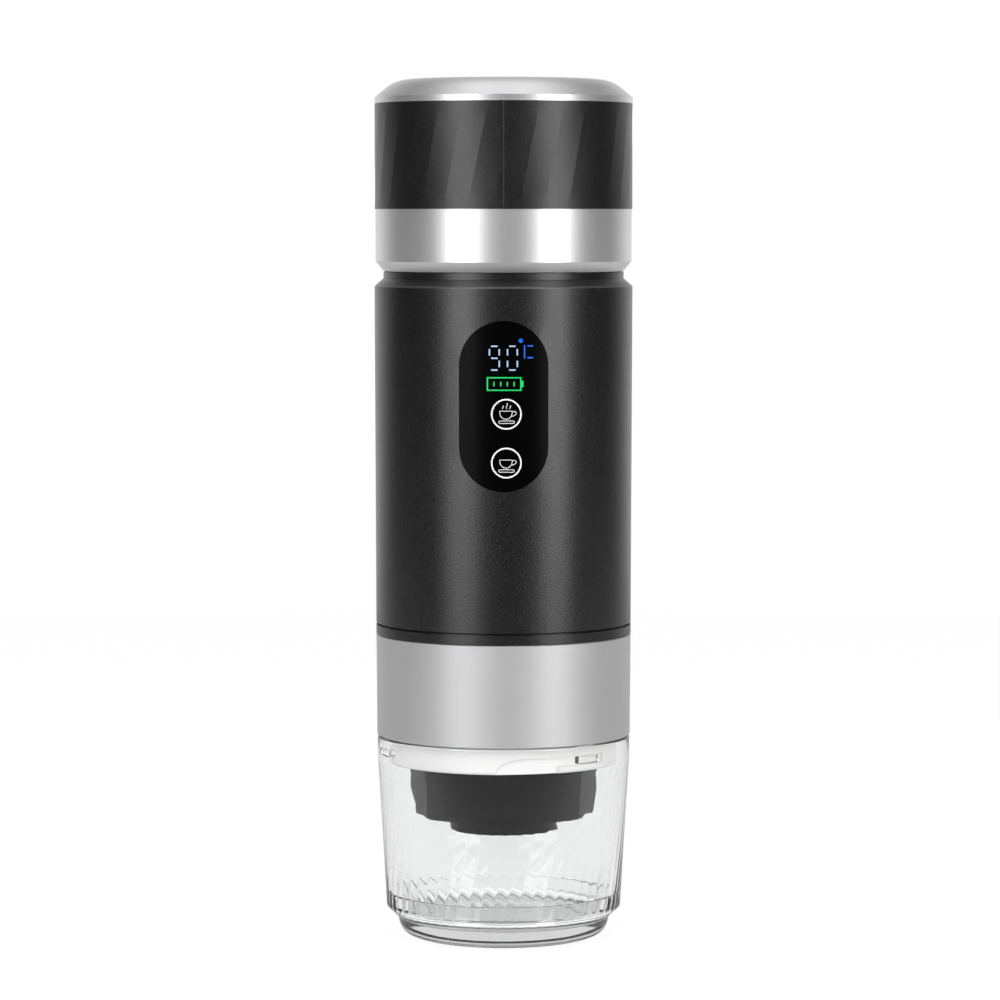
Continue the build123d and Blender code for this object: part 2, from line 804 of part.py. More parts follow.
# Pump: valve head with its two ports, crank housing, motor, and the turning shaft
housing_bottom = plate_top + pump_head_height
motor_bottom = housing_bottom + pump_housing_height
motor_top = motor_bottom + motor_height
inlet_level = plate_top + pump_head_height / 2
inlet_way = hose_run.normalized()
pump_centre = Vector(*pump_place, inlet_level)
inlet_plane = Plane(origin=pump_centre + inlet_way * (pump_radius / 2), z_dir=inlet_way)
with BuildPart() as pump_head:
    post(pump_place, pump_radius, plate_top, housing_bottom)
    post(pump_place, pump_port_radius, plate_top - pump_port_length, plate_top)
    with BuildSketch(inlet_plane) as barb:
        Circle(barb_radius)
    extrude(barb.sketch, amount=pump_radius / 2 + pump_barb_share * hose_level_run)
write(pump_head, "pump_head")

with BuildPart() as pump_housing:
    post(pump_place, pump_radius, housing_bottom, motor_bottom)
    post(pump_place, pump_radius - pump_housing_wall, housing_bottom, motor_bottom, Mode.SUBTRACT)
write(pump_housing, "pump_housing")

shaft_bottom = motor_bottom + shaft_in_motor - shaft_length
eccentric_bottom = shaft_bottom + eccentric_gap
with BuildPart() as pump_rotor:
    post(pump_place, shaft_radius, shaft_bottom, motor_bottom + shaft_in_motor)
    eccentric_place = (pump_place[0] + eccentric_offset, pump_place[1])
    post(eccentric_place, eccentric_radius, eccentric_bottom, eccentric_bottom + eccentric_height)
write(pump_rotor, "pump_rotor")

with BuildPart() as pump_motor:
    post(pump_place, motor_radius, motor_bottom, motor_top)
    fillet(pump_motor.edges().group_by(Axis.Z)[-1], motor_edge)
    post(pump_place, motor_boss_radius, motor_top, motor_top + motor_boss_height)
    bore_top = motor_bottom + shaft_in_motor + run_gap
    post(pump_place, shaft_radius + shaft_play, motor_bottom, bore_top, Mode.SUBTRACT)
write(pump_motor, "pump_motor")

# Hoses: tank to pump, with one bend, and pump to brew head, straight
hose_end = pump_centre + inlet_way * (pump_radius + fit_gap)
hose_corner = pump_centre + hose_run
with BuildPart() as inlet_hose:
    with BuildLine() as hose_path:
        FilletPolyline((*hose_place, nut_bottom - fit_gap), hose_corner, hose_end, radius=hose_bend)
    with BuildSketch(Plane(origin=hose_path.line @ 0, z_dir=hose_path.line % 0)):
        Circle(hose_radius)
        Circle(hose_bore, mode=Mode.SUBTRACT)
    sweep(path=hose_path.line)
write(inlet_hose, "inlet_hose")

head_port_top = base_bottom + head_port_length
link_bottom = head_port_top - link_hose_overlap
link_top = plate_bottom
with BuildPart() as outlet_hose:
    post(pump_place, link_hose_radius, link_bottom, link_top)
    post(pump_place, head_port_radius + fit_gap, link_bottom, link_top, Mode.SUBTRACT)
write(outlet_hose, "outlet_hose")

# Brew head: a disc in the spigot with a water port above and a recess for the screen below
with BuildPart() as brew_head:
    ring(0, head_radius, head_bottom, base_bottom)
    ring(0, head_recess_radius, head_bottom, head_bottom + head_recess_depth, mode=Mode.SUBTRACT)
    post(pump_place, head_port_radius, base_bottom, head_port_top)
    post(pump_place, head_port_bore, head_bottom, head_port_top, Mode.SUBTRACT)
write(brew_head, "brew_head")

with BuildPart() as shower_screen:
    ring(0, head_recess_radius - fit_gap, head_bottom, head_bottom + screen_height)
    reach = head_recess_radius - screen_margin
    holed(head_bottom, screen_height, screen_hole_radius, screen_rings, reach)
write(shower_screen, "shower_screen")

# Brew sleeve: the silver outer tube, with a lip below that holds the collar
sleeve_lip_top = unit_bottom + sleeve_lip_height
with BuildPart() as brew_sleeve:
    turned(
        (collar_radius + run_gap, unit_bottom),
        (sleeve_foot_radius - sleeve_edge, unit_bottom),
        (sleeve_foot_radius, unit_bottom + sleeve_edge),
        (shell_foot_radius, unit_top - sleeve_edge),
        (shell_foot_radius - sleeve_edge, unit_top),
        (sleeve_bore, unit_top),
        (sleeve_bore, sleeve_lip_top),
        (collar_radius + run_gap, sleeve_lip_top),
    )
write(brew_sleeve, "brew_sleeve")

# Brew chamber: a threaded outer wall round the spigot, and a well for the basket
with BuildPart() as brew_chamber:
    ring(chamber_bore, chamber_radius, chamber_bottom, chamber_top)
    ring(well_bore, chamber_radius, chamber_bottom, chamber_bottom + chamber_floor)
    ring(well_bore, well_radius, well_bottom, seat_top)
    ring(well_bore, seat_radius, seat_top - seat_height, seat_top)
write(brew_chamber, "brew_chamber")

with BuildPart() as chamber_gasket:
    ring(well_bore, seat_radius - gasket_inset, gasket_bottom, head_bottom)
write(chamber_gasket, "chamber_gasket")

# Coffee basket: a drawn cup with a flange on the seat and a pierced floor
basket_bottom = seat_top - basket_depth
with BuildPart() as coffee_basket:
    pot(basket_radius, basket_round, basket_bottom, (basket_radius, gasket_bottom))
    ring(0, seat_radius - gasket_inset, seat_top, gasket_bottom)
    bore = basket_radius - basket_wall
    basket_floor = basket_bottom + basket_wall
    pot(bore, basket_round - basket_wall, basket_floor, (bore, gasket_bottom + overrun), mode=Mode.SUBTRACT)
    reach = basket_radius - basket_margin
    holed(basket_bottom, basket_wall, basket_hole_radius, basket_rings, reach)
write(coffee_basket, "coffee_basket")

# Collar: the white ring that the cup turns onto, with a ramped groove for each lug
lug_bottom = collar_bottom + lug_level
lug_top = lug_bottom + lug_height
groove_floor = cup_rim_bore - lug_reach - groove_play
groove_top = lug_top + groove_play
ledge_top = lug_bottom - groove_play
mouth_start, mouth_end = groove_mouth
ramp_run = collar_radius * radians(groove_ramp)
with BuildPart() as cup_collar:
    ring(collar_bore, collar_radius, collar_bottom, chamber_bottom)
    chamfer(cup_collar.edges().group_by(Axis.Z)[0].sort_by(SortBy.RADIUS)[-1], collar_edge)
    ring(collar_bore, chamber_radius, sleeve_lip_top, chamber_bottom)
    for lug in range(lug_count):
        front = lug * 360 / lug_count - 90
        mouth = front + mouth_start
        ring(
            groove_floor,
            collar_radius + overrun,
            ledge_top,
            groove_top,
            start=mouth,
            arc=groove_end - mouth_start,
            mode=Mode.SUBTRACT,
        )
        ring(
            groove_floor,
            collar_radius + overrun,
            collar_bottom,
            groove_top,
            start=mouth,
            arc=mouth_end - mouth_start,
            mode=Mode.SUBTRACT,
        )
        ramp_out = Vector(*on_circle(groove_floor, mouth))
        ramp_side = Vector(ramp_out.Y, -ramp_out.X)
        with BuildSketch(Plane(origin=ramp_out, x_dir=ramp_side, z_dir=-ramp_out)) as ramp:
            with BuildLine():
                Polyline((0, groove_top), (0, collar_bottom), (ramp_run, collar_bottom))
                EllipticalCenterArc((0, collar_bottom), ramp_run, groove_top - collar_bottom, arc_size=90)
            make_face()
        extrude(ramp.sketch, amount=-overrun, mode=Mode.SUBTRACT)
write(cup_collar, "cup_collar")

# Outlet cap: ten tapered flats outside, thread bore, funnel, skirt and nozzle inside
funnel_radius = outlet_bore - outlet_shelf
with BuildPart() as outlet_cap:
    for level, corner in (
        (outlet_bottom, outlet_foot_radius - outlet_edge),
        (outlet_bottom + outlet_edge, outlet_foot_radius),
        (outlet_top, outlet_top_radius),
    ):
        with BuildSketch(Plane.XY.offset(level)) as flats:
            RegularPolygon(corner, outlet_sides)
            fillet(flats.vertices(), outlet_corner)
    loft(ruled=True)
    ring(0, spout_radius, spout_bottom, outlet_bottom + outlet_edge)
    skirt_bore = spout_radius - spout_wall
    skirt_top = spout_bottom + spout_skirt_depth
    ring(nozzle_radius, skirt_bore, spout_bottom, skirt_top, mode=Mode.SUBTRACT)
    turned(
        (0, spout_bottom - overrun),
        (nozzle_bore, spout_bottom - overrun),
        (nozzle_bore, outlet_bottom),
        (funnel_radius, outlet_shoulder),
        (outlet_bore, outlet_shoulder),
        (outlet_bore, outlet_top + overrun),
        (0, outlet_top + overrun),
        mode=Mode.SUBTRACT,
    )
write(outlet_cap, "outlet_cap")

with BuildPart() as outlet_gasket:
    ring(funnel_radius, well_radius, outlet_shoulder, well_bottom)
write(outlet_gasket, "outlet_gasket")

# Cup: a stepped foot, a tapered wall cut into slanted flutes, a plain rim, and lugs inside the rim
flute_bottom = cup_step_height
flute_top = cup_height - cup_rim_height
flute_length = flute_top - flute_bottom
flute_middle_radius = (flute_foot_radius + flute_top_radius) / 2
flute_twist = flute_length * tan(radians(flute_slant)) / radians(1) / flute_middle_radius


def star(level, radius, turn):
    """Star of flute crests and valleys at one level of the wall."""
    with BuildSketch(Plane.XY.offset(level)) as outline:
        with BuildLine():
            pitch = 180 / flute_count
            tips = range(2 * flute_count)
            points = (on_circle(radius - flute_depth * (tip % 2), turn + tip * pitch) for tip in tips)
            Polyline(*points, close=True)
        make_face()
    return outline.sketch


with BuildPart() as cup:
    loft(
        (star(flute_bottom, flute_foot_radius, 0), star(flute_top, flute_top_radius, flute_twist)),
        ruled=True,
    )
    turned(
        (0, flute_top),
        (flute_top_radius, flute_top),
        (cup_radius, cup_height),
        (0, cup_height),
    )
    with BuildSketch(Plane.XZ) as foot_section:
        with BuildLine():
            corner = CenterArc((cup_toe_radius, cup_foot_round), cup_foot_round, 270, 90)
            Polyline(
                corner @ 1,
                (cup_base_radius, cup_base_height),
                (flute_foot_radius, flute_bottom),
                (0, flute_bottom),
                (0, 0),
                corner @ 0,
            )
        make_face()
    revolve(foot_section.sketch, axis=Axis.Z)
    pot(
        flute_foot_radius - flute_depth - cup_wall,
        cup_floor_round,
        cup_floor,
        (cup_rim_bore, flute_top),
        (cup_rim_bore, cup_height + overrun),
        mode=Mode.SUBTRACT,
    )
    ring(0, cup_recess_radius, 0, cup_recess_depth, mode=Mode.SUBTRACT)
    for dimple in range(dimple_count):
        place = on_circle(dimple_ring, dimple_start + dimple * 360 / dimple_count)
        post(place, dimple_radius, 0, dimple_depth, Mode.SUBTRACT)
    for lug in range(lug_count):
        lug_start = lug * 360 / lug_count - 90 + lug_angle - lug_span / 2
        lug_root = cup_rim_bore + cup_rim_wall / 2
        ring(cup_rim_bore - lug_reach, lug_root, lug_bottom, lug_top, start=lug_start, arc=lug_span)
write(cup, "cup")
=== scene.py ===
"""Looks of a portable espresso machine, laid out as an add-on and run as a script.

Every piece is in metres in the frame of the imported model: the cup's foot is on z = 0 and the display faces -Y.
"""

import math

import bmesh
import bpy
from bpy.props import FloatProperty, FloatVectorProperty, IntProperty, PointerProperty
from mathutils import Matrix, Vector


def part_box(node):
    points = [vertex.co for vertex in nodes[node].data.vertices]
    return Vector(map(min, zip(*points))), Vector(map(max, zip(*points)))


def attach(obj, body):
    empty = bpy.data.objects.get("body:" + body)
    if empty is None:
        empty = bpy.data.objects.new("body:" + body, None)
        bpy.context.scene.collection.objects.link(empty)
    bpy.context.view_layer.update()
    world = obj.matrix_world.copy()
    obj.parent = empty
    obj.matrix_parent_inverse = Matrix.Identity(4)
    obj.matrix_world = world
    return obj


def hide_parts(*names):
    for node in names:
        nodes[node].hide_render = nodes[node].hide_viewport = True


bl_info = {
    "name": "Portable Espresso Machine",
    "version": (1, 0, 0),
    "blender": (4, 5, 0),
    "location": "View3D > Sidebar > Espresso",
    "description": "Finishes, display signs, threads, clear cup and studio for a portable espresso machine",
    "category": "Object",
}

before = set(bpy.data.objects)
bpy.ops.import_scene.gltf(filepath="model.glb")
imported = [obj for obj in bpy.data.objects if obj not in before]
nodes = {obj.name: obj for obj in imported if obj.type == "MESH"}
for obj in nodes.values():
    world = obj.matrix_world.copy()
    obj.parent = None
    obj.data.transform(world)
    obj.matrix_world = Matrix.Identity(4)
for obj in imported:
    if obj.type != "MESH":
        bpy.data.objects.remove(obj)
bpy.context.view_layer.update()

MM = 0.001


def low(node):
    """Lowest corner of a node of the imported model."""
    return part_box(node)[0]


def high(node):
    """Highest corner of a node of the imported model."""
    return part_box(node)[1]


# Settings


class CupSizes(bpy.types.PropertyGroup):
    """Sizes of the clear cup"""

    rim_radius: FloatProperty(
        name="Rim radius", description="Outer radius at the rim", default=high("cup").x, unit="LENGTH", precision=5
    )
    height: FloatProperty(
        name="Height", description="Rim above the foot", default=high("cup").z, unit="LENGTH", precision=5
    )
    flute_count: IntProperty(name="Flutes", description="Slanted flutes round the wall", default=60, min=12, max=120)
    flute_depth: FloatProperty(
        name="Flute depth", description="Crest to valley at the foot", default=0.205 * MM, unit="LENGTH", precision=6
    )
    flute_least: FloatProperty(
        name="Least depth", description="Crest to valley under the rim", default=0.022 * MM, unit="LENGTH", precision=6
    )
    flute_slant: FloatProperty(
        name="Flute slant", description="Lean of the flutes", default=math.radians(11.0), subtype="ANGLE"
    )


class ThreadSizes(bpy.types.PropertyGroup):
    """Sizes of the screw threads"""

    lead: FloatProperty(name="Lead", description="Rise in one turn", default=4.0 * MM, unit="LENGTH", precision=5)
    ridge: FloatProperty(
        name="Ridge", description="Height of a thread's ridge", default=0.65 * MM, unit="LENGTH", precision=6
    )
    width: FloatProperty(
        name="Width", description="Width of a ridge at its root", default=1.7 * MM, unit="LENGTH", precision=6
    )


class FinishColours(bpy.types.PropertyGroup):
    """Colours of the machine's finishes"""

    silver: FloatVectorProperty(
        name="Silver", description="Satin metal", size=3, subtype="COLOR", default=(0.8, 0.8, 0.81)
    )
    shell: FloatVectorProperty(
        name="Shell", description="Painted body", size=3, subtype="COLOR", default=(0.0028, 0.0028, 0.003)
    )
    black: FloatVectorProperty(
        name="Black", description="Moulded black pieces", size=3, subtype="COLOR", default=(0.0025, 0.0025, 0.0027)
    )
    white: FloatVectorProperty(
        name="White", description="Bayonet collar", size=3, subtype="COLOR", default=(0.96, 0.96, 0.95)
    )


class DisplaySigns(bpy.types.PropertyGroup):
    """Colours and places of the signs on the display"""

    digits: FloatVectorProperty(
        name="Digits", description="Temperature digits", size=3, subtype="COLOR", default=(0.5, 0.72, 1.0)
    )
    unit: FloatVectorProperty(
        name="Unit", description="Degree sign", size=3, subtype="COLOR", default=(0.0, 0.15, 1.0)
    )
    battery: FloatVectorProperty(
        name="Battery", description="Battery sign", size=3, subtype="COLOR", default=(0.0, 0.78, 0.16)
    )
    keys: FloatVectorProperty(
        name="Keys", description="Printed key signs", size=3, subtype="COLOR", default=(0.85, 0.85, 0.85)
    )
    lift: FloatProperty(
        name="Lift", description="Signs proud of the window", default=0.02 * MM, unit="LENGTH", precision=6
    )


class StudioSetup(bpy.types.PropertyGroup):
    """Camera and light of the studio"""

    distance: FloatProperty(
        name="Distance", description="Camera from the axis", default=1.095, unit="LENGTH", precision=4
    )
    height: FloatProperty(
        name="Height", description="Camera above the floor", default=0.1999, unit="LENGTH", precision=4
    )
    pitch: FloatProperty(
        name="Pitch", description="Camera's tilt below level", default=math.radians(4.146), subtype="ANGLE"
    )
    lens: FloatProperty(name="Lens", description="Focal length in millimetres", default=143.02, unit="CAMERA")
    lamp_power: FloatProperty(name="Lamps", description="Power of each soft box", default=13.0, unit="POWER")
    fill_power: FloatProperty(name="Fill", description="Power of the fill light", default=7.0, unit="POWER")
    front_level: FloatProperty(
        name="Front", description="Light from the room's dark front", default=0.045, min=0.0, max=1.0, subtype="FACTOR"
    )


# Node trees


class Wire:
    """A socket that gives a value and takes part in Python sums."""

    def __init__(self, board, socket):
        self.board = board
        self.socket = socket

    def math(self, operation, *values):
        """A Math node on this value and others."""
        return self.board.math(operation, self, *values)

    def __add__(self, other):
        return self.math("ADD", other)

    def __radd__(self, other):
        return self.board.math("ADD", other, self)

    def __sub__(self, other):
        return self.math("SUBTRACT", other)

    def __rsub__(self, other):
        return self.board.math("SUBTRACT", other, self)

    def __mul__(self, other):
        return self.math("MULTIPLY", other)

    def __rmul__(self, other):
        return self.board.math("MULTIPLY", other, self)

    def __truediv__(self, other):
        return self.math("DIVIDE", other)

    def __rtruediv__(self, other):
        return self.board.math("DIVIDE", other, self)

    def __neg__(self):
        return self.board.math("SUBTRACT", 0.0, self)

    def __abs__(self):
        return self.math("ABSOLUTE")

    def __lt__(self, other):
        return self.math("LESS_THAN", other)

    def __gt__(self, other):
        return self.math("GREATER_THAN", other)


class Board:
    """A node tree that is filled from Python."""

    def __init__(self, tree):
        self.tree = tree

    def node(self, kind, settings=None, sockets=None, output=0):
        """Add a node by its type, with its settings first and then its sockets, and give one of its outputs."""
        made = self.tree.nodes.new(kind)
        for name, value in (settings or {}).items():
            setattr(made, name, value)
        for name, value in (sockets or {}).items():
            self.feed(made.inputs[name], value)
        return Wire(self, made.outputs[output]) if made.outputs else made

    def feed(self, socket, value):
        """Link a wire to a socket, or set the socket's own value."""
        if isinstance(value, Wire):
            self.tree.links.new(value.socket, socket)
        else:
            socket.default_value = value

    def math(self, operation, *values):
        """A Math node on numbers and wires."""
        return self.node("ShaderNodeMath", {"operation": operation}, dict(enumerate(values)))

    def parts(self, vector):
        """The three parts of a vector."""
        split = self.node("ShaderNodeSeparateXYZ", sockets={0: vector}).socket.node
        return [Wire(self, socket) for socket in split.outputs]

    def joined(self, x, y, z):
        """A vector from its three parts."""
        return self.node("ShaderNodeCombineXYZ", sockets={0: x, 1: y, 2: z})

    def step(self, value, start, end):
        """A smooth step from 0 to 1 between two values."""
        sockets = {"Value": value, "From Min": start, "From Max": end}
        return self.node("ShaderNodeMapRange", {"interpolation_type": "SMOOTHSTEP"}, sockets)

    def ray(self, kind):
        """1 for one kind of light ray, and 0 for the others."""
        return self.node("ShaderNodeLightPath", output=f"Is {kind} Ray")


def grey(level):
    """A neutral colour of a level."""
    return (level, level, level, 1.0)


def scaled(colour, share):
    """A colour with its lightness multiplied."""
    return [share * part for part in colour]


class Finish(Board):
    """A material with one principled shader, made from nodes."""

    def __init__(self, name, colour, roughness, **constants):
        self.material = bpy.data.materials.new(name)
        self.material.use_nodes = True
        super().__init__(self.material.node_tree)
        self.shader = self.tree.nodes["Principled BSDF"]
        self.colour = (*colour, 1.0)
        self.set(Base_Color=self.colour, Roughness=roughness, **constants)
        self.material.diffuse_color = self.colour
        self.material.roughness = roughness

    def set(self, **sockets):
        """Set or link the shader's sockets, with _ for a space in a name."""
        for name, value in sockets.items():
            self.feed(self.shader.inputs[name.replace("_", " ")], value)

    def place(self):
        """Where a point of the surface is on the piece."""
        return self.node("ShaderNodeTexCoord", output="Object")

    def stretched(self, x, y, z):
        """Places multiplied along each axis, for grain that runs one way."""
        return self.node("ShaderNodeMapping", sockets={"Vector": self.place(), "Scale": (x, y, z)})

    def noise(self, size, detail=2.0, place=None):
        """Noise from 0 to 1 with grains of a size."""
        sockets = {"Vector": place or self.place(), "Scale": 1 / size, "Detail": detail}
        return self.node("ShaderNodeTexNoise", sockets=sockets)

    def mix(self, factor, first, second):
        """A colour between two colours."""
        return self.node("ShaderNodeMix", {"data_type": "RGBA"}, {0: factor, 6: first, 7: second}, 2)

    def tint(self, factor, least, most):
        """The finish's own colour, varied in lightness."""
        first, second = ((*scaled(self.colour[:3], share), 1.0) for share in (least, most))
        return self.mix(factor, first, second)

    def shade(self, factor, colour):
        """Lay a second colour over the first where a factor says."""
        base = Wire(self, self.shader.inputs["Base Color"].links[0].from_socket)
        self.set(Base_Color=self.mix(factor, base, colour))

    def rounder(self, share):
        """The surface's normal, turned by a share towards the one of a plain cylinder."""
        x, y, _ = self.parts(self.place())
        across, out, up = self.parts(self.node("ShaderNodeTexCoord", output="Normal"))
        radius = (x * x + y * y).math("SQRT")
        mixed = self.joined(across + (x / radius - across) * share, out + (y / radius - out) * share, up)
        settings = {"vector_type": "NORMAL", "convert_from": "OBJECT", "convert_to": "WORLD"}
        return self.node("ShaderNodeVectorTransform", settings, {0: mixed})

    def relief(self, height, depth, strength, **more):
        """A bump of a depth in metres."""
        sockets = {"Strength": strength, "Distance": depth, "Height": height}
        self.set(Normal=self.node("ShaderNodeBump", sockets=sockets | more))

    def blend(self, factor, first, second):
        """A shader between two shaders."""
        return self.node("ShaderNodeMixShader", sockets={0: factor, 1: first, 2: second})

    def show(self, socket, shader):
        """Put a shader on the surface or in the volume."""
        self.feed(self.tree.nodes["Material Output"].inputs[socket], shader)


def satin_metal(name, colour, roughness, grain, turned_share=0.0, metal=1.0):
    """Turned, blasted and anodised aluminium, whose fine grain blurs more along the axis than round it."""
    finish = Finish(name, colour, roughness, Metallic=metal, Anisotropic=turned_share, Anisotropic_Rotation=0.25)
    fine = finish.noise(grain, 3.0)
    broad = finish.noise(18 * MM, 2.0)
    finish.set(Base_Color=finish.tint(broad * 0.6 + fine * 0.4, 0.965, 1.03))
    finish.set(Roughness=roughness - 0.05 + 0.1 * fine)
    finish.relief(fine, 0.008 * MM, 0.35)
    return finish


def grained_paint(name, colour, roughness, grain, depth, shine=0.7, under=None):
    """Dark satin paint or moulded plastic with a fine leathery grain; a function may give the normal under it."""
    finish = Finish(name, colour, roughness, Specular_IOR_Level=shine)
    fine = finish.noise(grain, 2.5)
    broad = finish.noise(9 * MM, 3.0)
    speck = finish.step(finish.noise(grain, 1.0), 0.42, 0.62)
    finish.set(Base_Color=finish.tint(0.8 * speck + 0.2 * broad, 0.2, 3.6))
    finish.set(Roughness=roughness - 0.06 + 0.07 * fine + 0.05 * broad)
    smooth = {"Normal": under(finish)} if under else {}
    finish.relief(fine, depth, 0.8, **smooth)
    return finish


def brushed_steel(name, colour, roughness, line):
    """Drawn steel with fine lines round the axis."""
    finish = Finish(name, colour, roughness, Metallic=1.0)
    lines = finish.noise(line, 3.0, finish.stretched(0.03, 0.03, 1.0))
    broad = finish.noise(12 * MM)
    finish.set(Base_Color=finish.tint(0.6 * lines + 0.4 * broad, 0.88, 1.08))
    finish.set(Roughness=roughness - 0.08 + 0.16 * lines)
    finish.relief(lines, 0.006 * MM, 0.4)
    return finish


def moulded(name, colour, roughness):
    """Plain moulded plastic, silicone or rubber with a faint mould grain."""
    finish = Finish(name, colour, roughness)
    fine = finish.noise(0.35 * MM, 2.0)
    broad = finish.noise(7 * MM, 3.0)
    finish.set(Base_Color=finish.tint(broad, 0.96, 1.03))
    finish.set(Roughness=roughness - 0.04 + 0.05 * fine + 0.04 * broad)
    finish.relief(fine, 0.01 * MM, 0.3)
    return finish


def circuit_board(name, colour):
    """Lacquered board with a faint net of tracks and pads."""
    finish = Finish(name, colour, 0.35)
    tracks = finish.node(
        "ShaderNodeTexBrick",
        {"offset": 0.35},
        {"Vector": finish.stretched(1.0, 0.0, 1.0), "Scale": 1 / (9 * MM), "Mortar Size": 0.03, "Bias": 0.2},
        "Fac",
    )
    pads = finish.node(
        "ShaderNodeTexVoronoi", {"feature": "F1"}, {"Vector": finish.place(), "Scale": 1 / (2.2 * MM)}, "Distance"
    )
    finish.set(Base_Color=finish.mix(tracks, finish.tint(pads, 0.8, 1.2), (0.1, 0.36, 0.16, 1.0)))
    finish.relief(tracks, 0.05 * MM, 0.5)
    return finish


def cell_wrap(name, colour):
    """Shrunk film on a cell, with a metal end."""
    finish = Finish(name, colour, 0.3, Coat_Weight=0.3)
    _, _, up = finish.parts(finish.place())
    top = high("battery_cells").z
    end = up > top - 2.0 * MM
    shine = finish.noise(5 * MM, 2.0, finish.stretched(1.0, 1.0, 0.15))
    finish.set(Base_Color=finish.mix(end, finish.tint(shine, 0.85, 1.15), (0.6, 0.6, 0.58, 1.0)))
    finish.set(Metallic=end, Roughness=0.25 + 0.12 * shine)
    return finish


def glow(name, colour):
    """A lit sign behind the window, a little uneven along its light guide."""
    finish = Finish(name, (0.01, 0.01, 0.01), 0.35, Emission_Strength=1.0)
    uneven = finish.noise(0.5 * MM, 1.0)
    dim = (*scaled(colour, 0.75), 1.0)
    finish.set(Emission_Color=finish.mix(finish.step(uneven, 0.3, 0.6), dim, (*colour, 1.0)))
    return finish


def clear_plastic(name):
    """Clear plastic, which lets the light of shadows straight through and turns grey where it is thick."""
    finish = Finish(name, (0.985, 0.99, 0.99), 0.02, IOR=1.52, Transmission_Weight=1.0)
    scuffs = finish.noise(14 * MM, 4.0)
    finish.set(Roughness=0.01 + 0.03 * scuffs)
    _, _, up = finish.parts(finish.place())
    over_foot = finish.step(up, 5 * MM, 9 * MM)
    lit = finish.ray("Shadow").math("MAXIMUM", finish.ray("Diffuse")) * (0.4 + 0.6 * over_foot)
    through = finish.node("ShaderNodeBsdfTransparent", sockets={0: grey(0.99)})
    finish.show("Surface", finish.blend(lit, Wire(finish, finish.shader.outputs[0]), through))
    finish.show("Volume", finish.node("ShaderNodeVolumeAbsorption", sockets={"Color": grey(0.9), "Density": 95.0}))
    return finish


# Meshes


def shown(name, mesh):
    """A new object for a mesh, at the origin."""
    piece = bpy.data.objects.new(name, mesh)
    bpy.context.scene.collection.objects.link(piece)
    return piece


def finished(name, holder, material=None, angle=35.0):
    """Turn an object with its modifiers into a plain, smoothly shaded piece."""
    graph = bpy.context.evaluated_depsgraph_get()
    mesh = bpy.data.meshes.new_from_object(holder.evaluated_get(graph))
    bpy.data.objects.remove(holder)
    mesh.name = name
    if material:
        mesh.materials.clear()
        mesh.materials.append(material)
    mesh.shade_smooth()
    mesh.set_sharp_from_angle(angle=math.radians(angle))
    return shown(name, mesh)


def grown(name, tree, inputs, seed=None):
    """Run a geometry tree on a seed object and keep the result as a plain mesh."""
    holder = seed or shown(name + "_seed", bpy.data.meshes.new(name + "_seed"))
    modifier = holder.modifiers.new(name, "NODES")
    modifier.node_group = tree
    for item in tree.interface.items_tree:
        if item.in_out == "INPUT" and item.name in inputs:
            modifier[item.identifier] = inputs[item.name]
    return finished(name, holder)


def softened(corners, steps=8):
    """An outline from (radius, height, rounding) corners."""
    points = [Vector(corner[:2]) for corner in corners]
    smooth = []
    for index, (corner, (*_, rounding)) in enumerate(zip(points, corners)):
        if not rounding:
            smooth.append(corner)
            continue
        back = (points[index - 1] - corner).normalized()
        on = (points[(index + 1) % len(points)] - corner).normalized()
        reach = rounding / math.tan(back.angle(on) / 2)
        start, end = corner + back * reach, corner + on * reach
        for step in range(steps + 1):
            share = step / steps
            smooth.append(start.lerp(corner, share).lerp(corner.lerp(end, share), share))
    return smooth


def turned(outline, steps):
    """Turn an outline that starts and ends on the axis, or closes on itself, into a closed mesh."""
    build = bmesh.new()
    rows = []
    for radius, height in outline:
        spots = 1 if radius < 1e-7 else steps
        row = []
        for spot in range(spots):
            angle = 2 * math.pi * spot / steps
            row.append(build.verts.new((radius * math.cos(angle), radius * math.sin(angle), height)))
        rows.append(row)
    for lower, upper in zip(rows, rows[1:] + rows[:1]):
        for spot in range(steps):
            corners = [lower[spot % len(lower)], lower[(spot + 1) % len(lower)]]
            corners += [upper[(spot + 1) % len(upper)], upper[spot % len(upper)]]
            face = list(dict.fromkeys(corners))
            if len(face) > 2:
                build.faces.new(face)
    bmesh.ops.recalc_face_normals(build, faces=build.faces)
    mesh = bpy.data.meshes.new("turned")
    build.to_mesh(mesh)
    build.free()
    return mesh


def sector(inner, outer, bottom, top, start, arc, steps=10):
    """A closed block that is part of a ring, with its angles in degrees."""
    build = bmesh.new()
    rings = []
    for step in range(steps + 1):
        angle = math.radians(start + arc * step / steps)
        corners = ((inner, bottom), (outer, bottom), (outer, top), (inner, top))
        rings.append([build.verts.new((r * math.cos(angle), r * math.sin(angle), z)) for r, z in corners])
    for near, far in zip(rings, rings[1:]):
        for side in range(4):
            build.faces.new((near[side], near[(side + 1) % 4], far[(side + 1) % 4], far[side]))
    build.faces.new(rings[0])
    build.faces.new(rings[-1])
    bmesh.ops.recalc_face_normals(build, faces=build.faces)
    sharp = [edge for edge in build.edges if edge.calc_face_angle() > 1.0]
    bmesh.ops.bevel(build, geom=sharp, offset=0.3 * MM, segments=3, profile=0.5, affect="EDGES")
    mesh = bpy.data.meshes.new("sector")
    build.to_mesh(mesh)
    build.free()
    return mesh


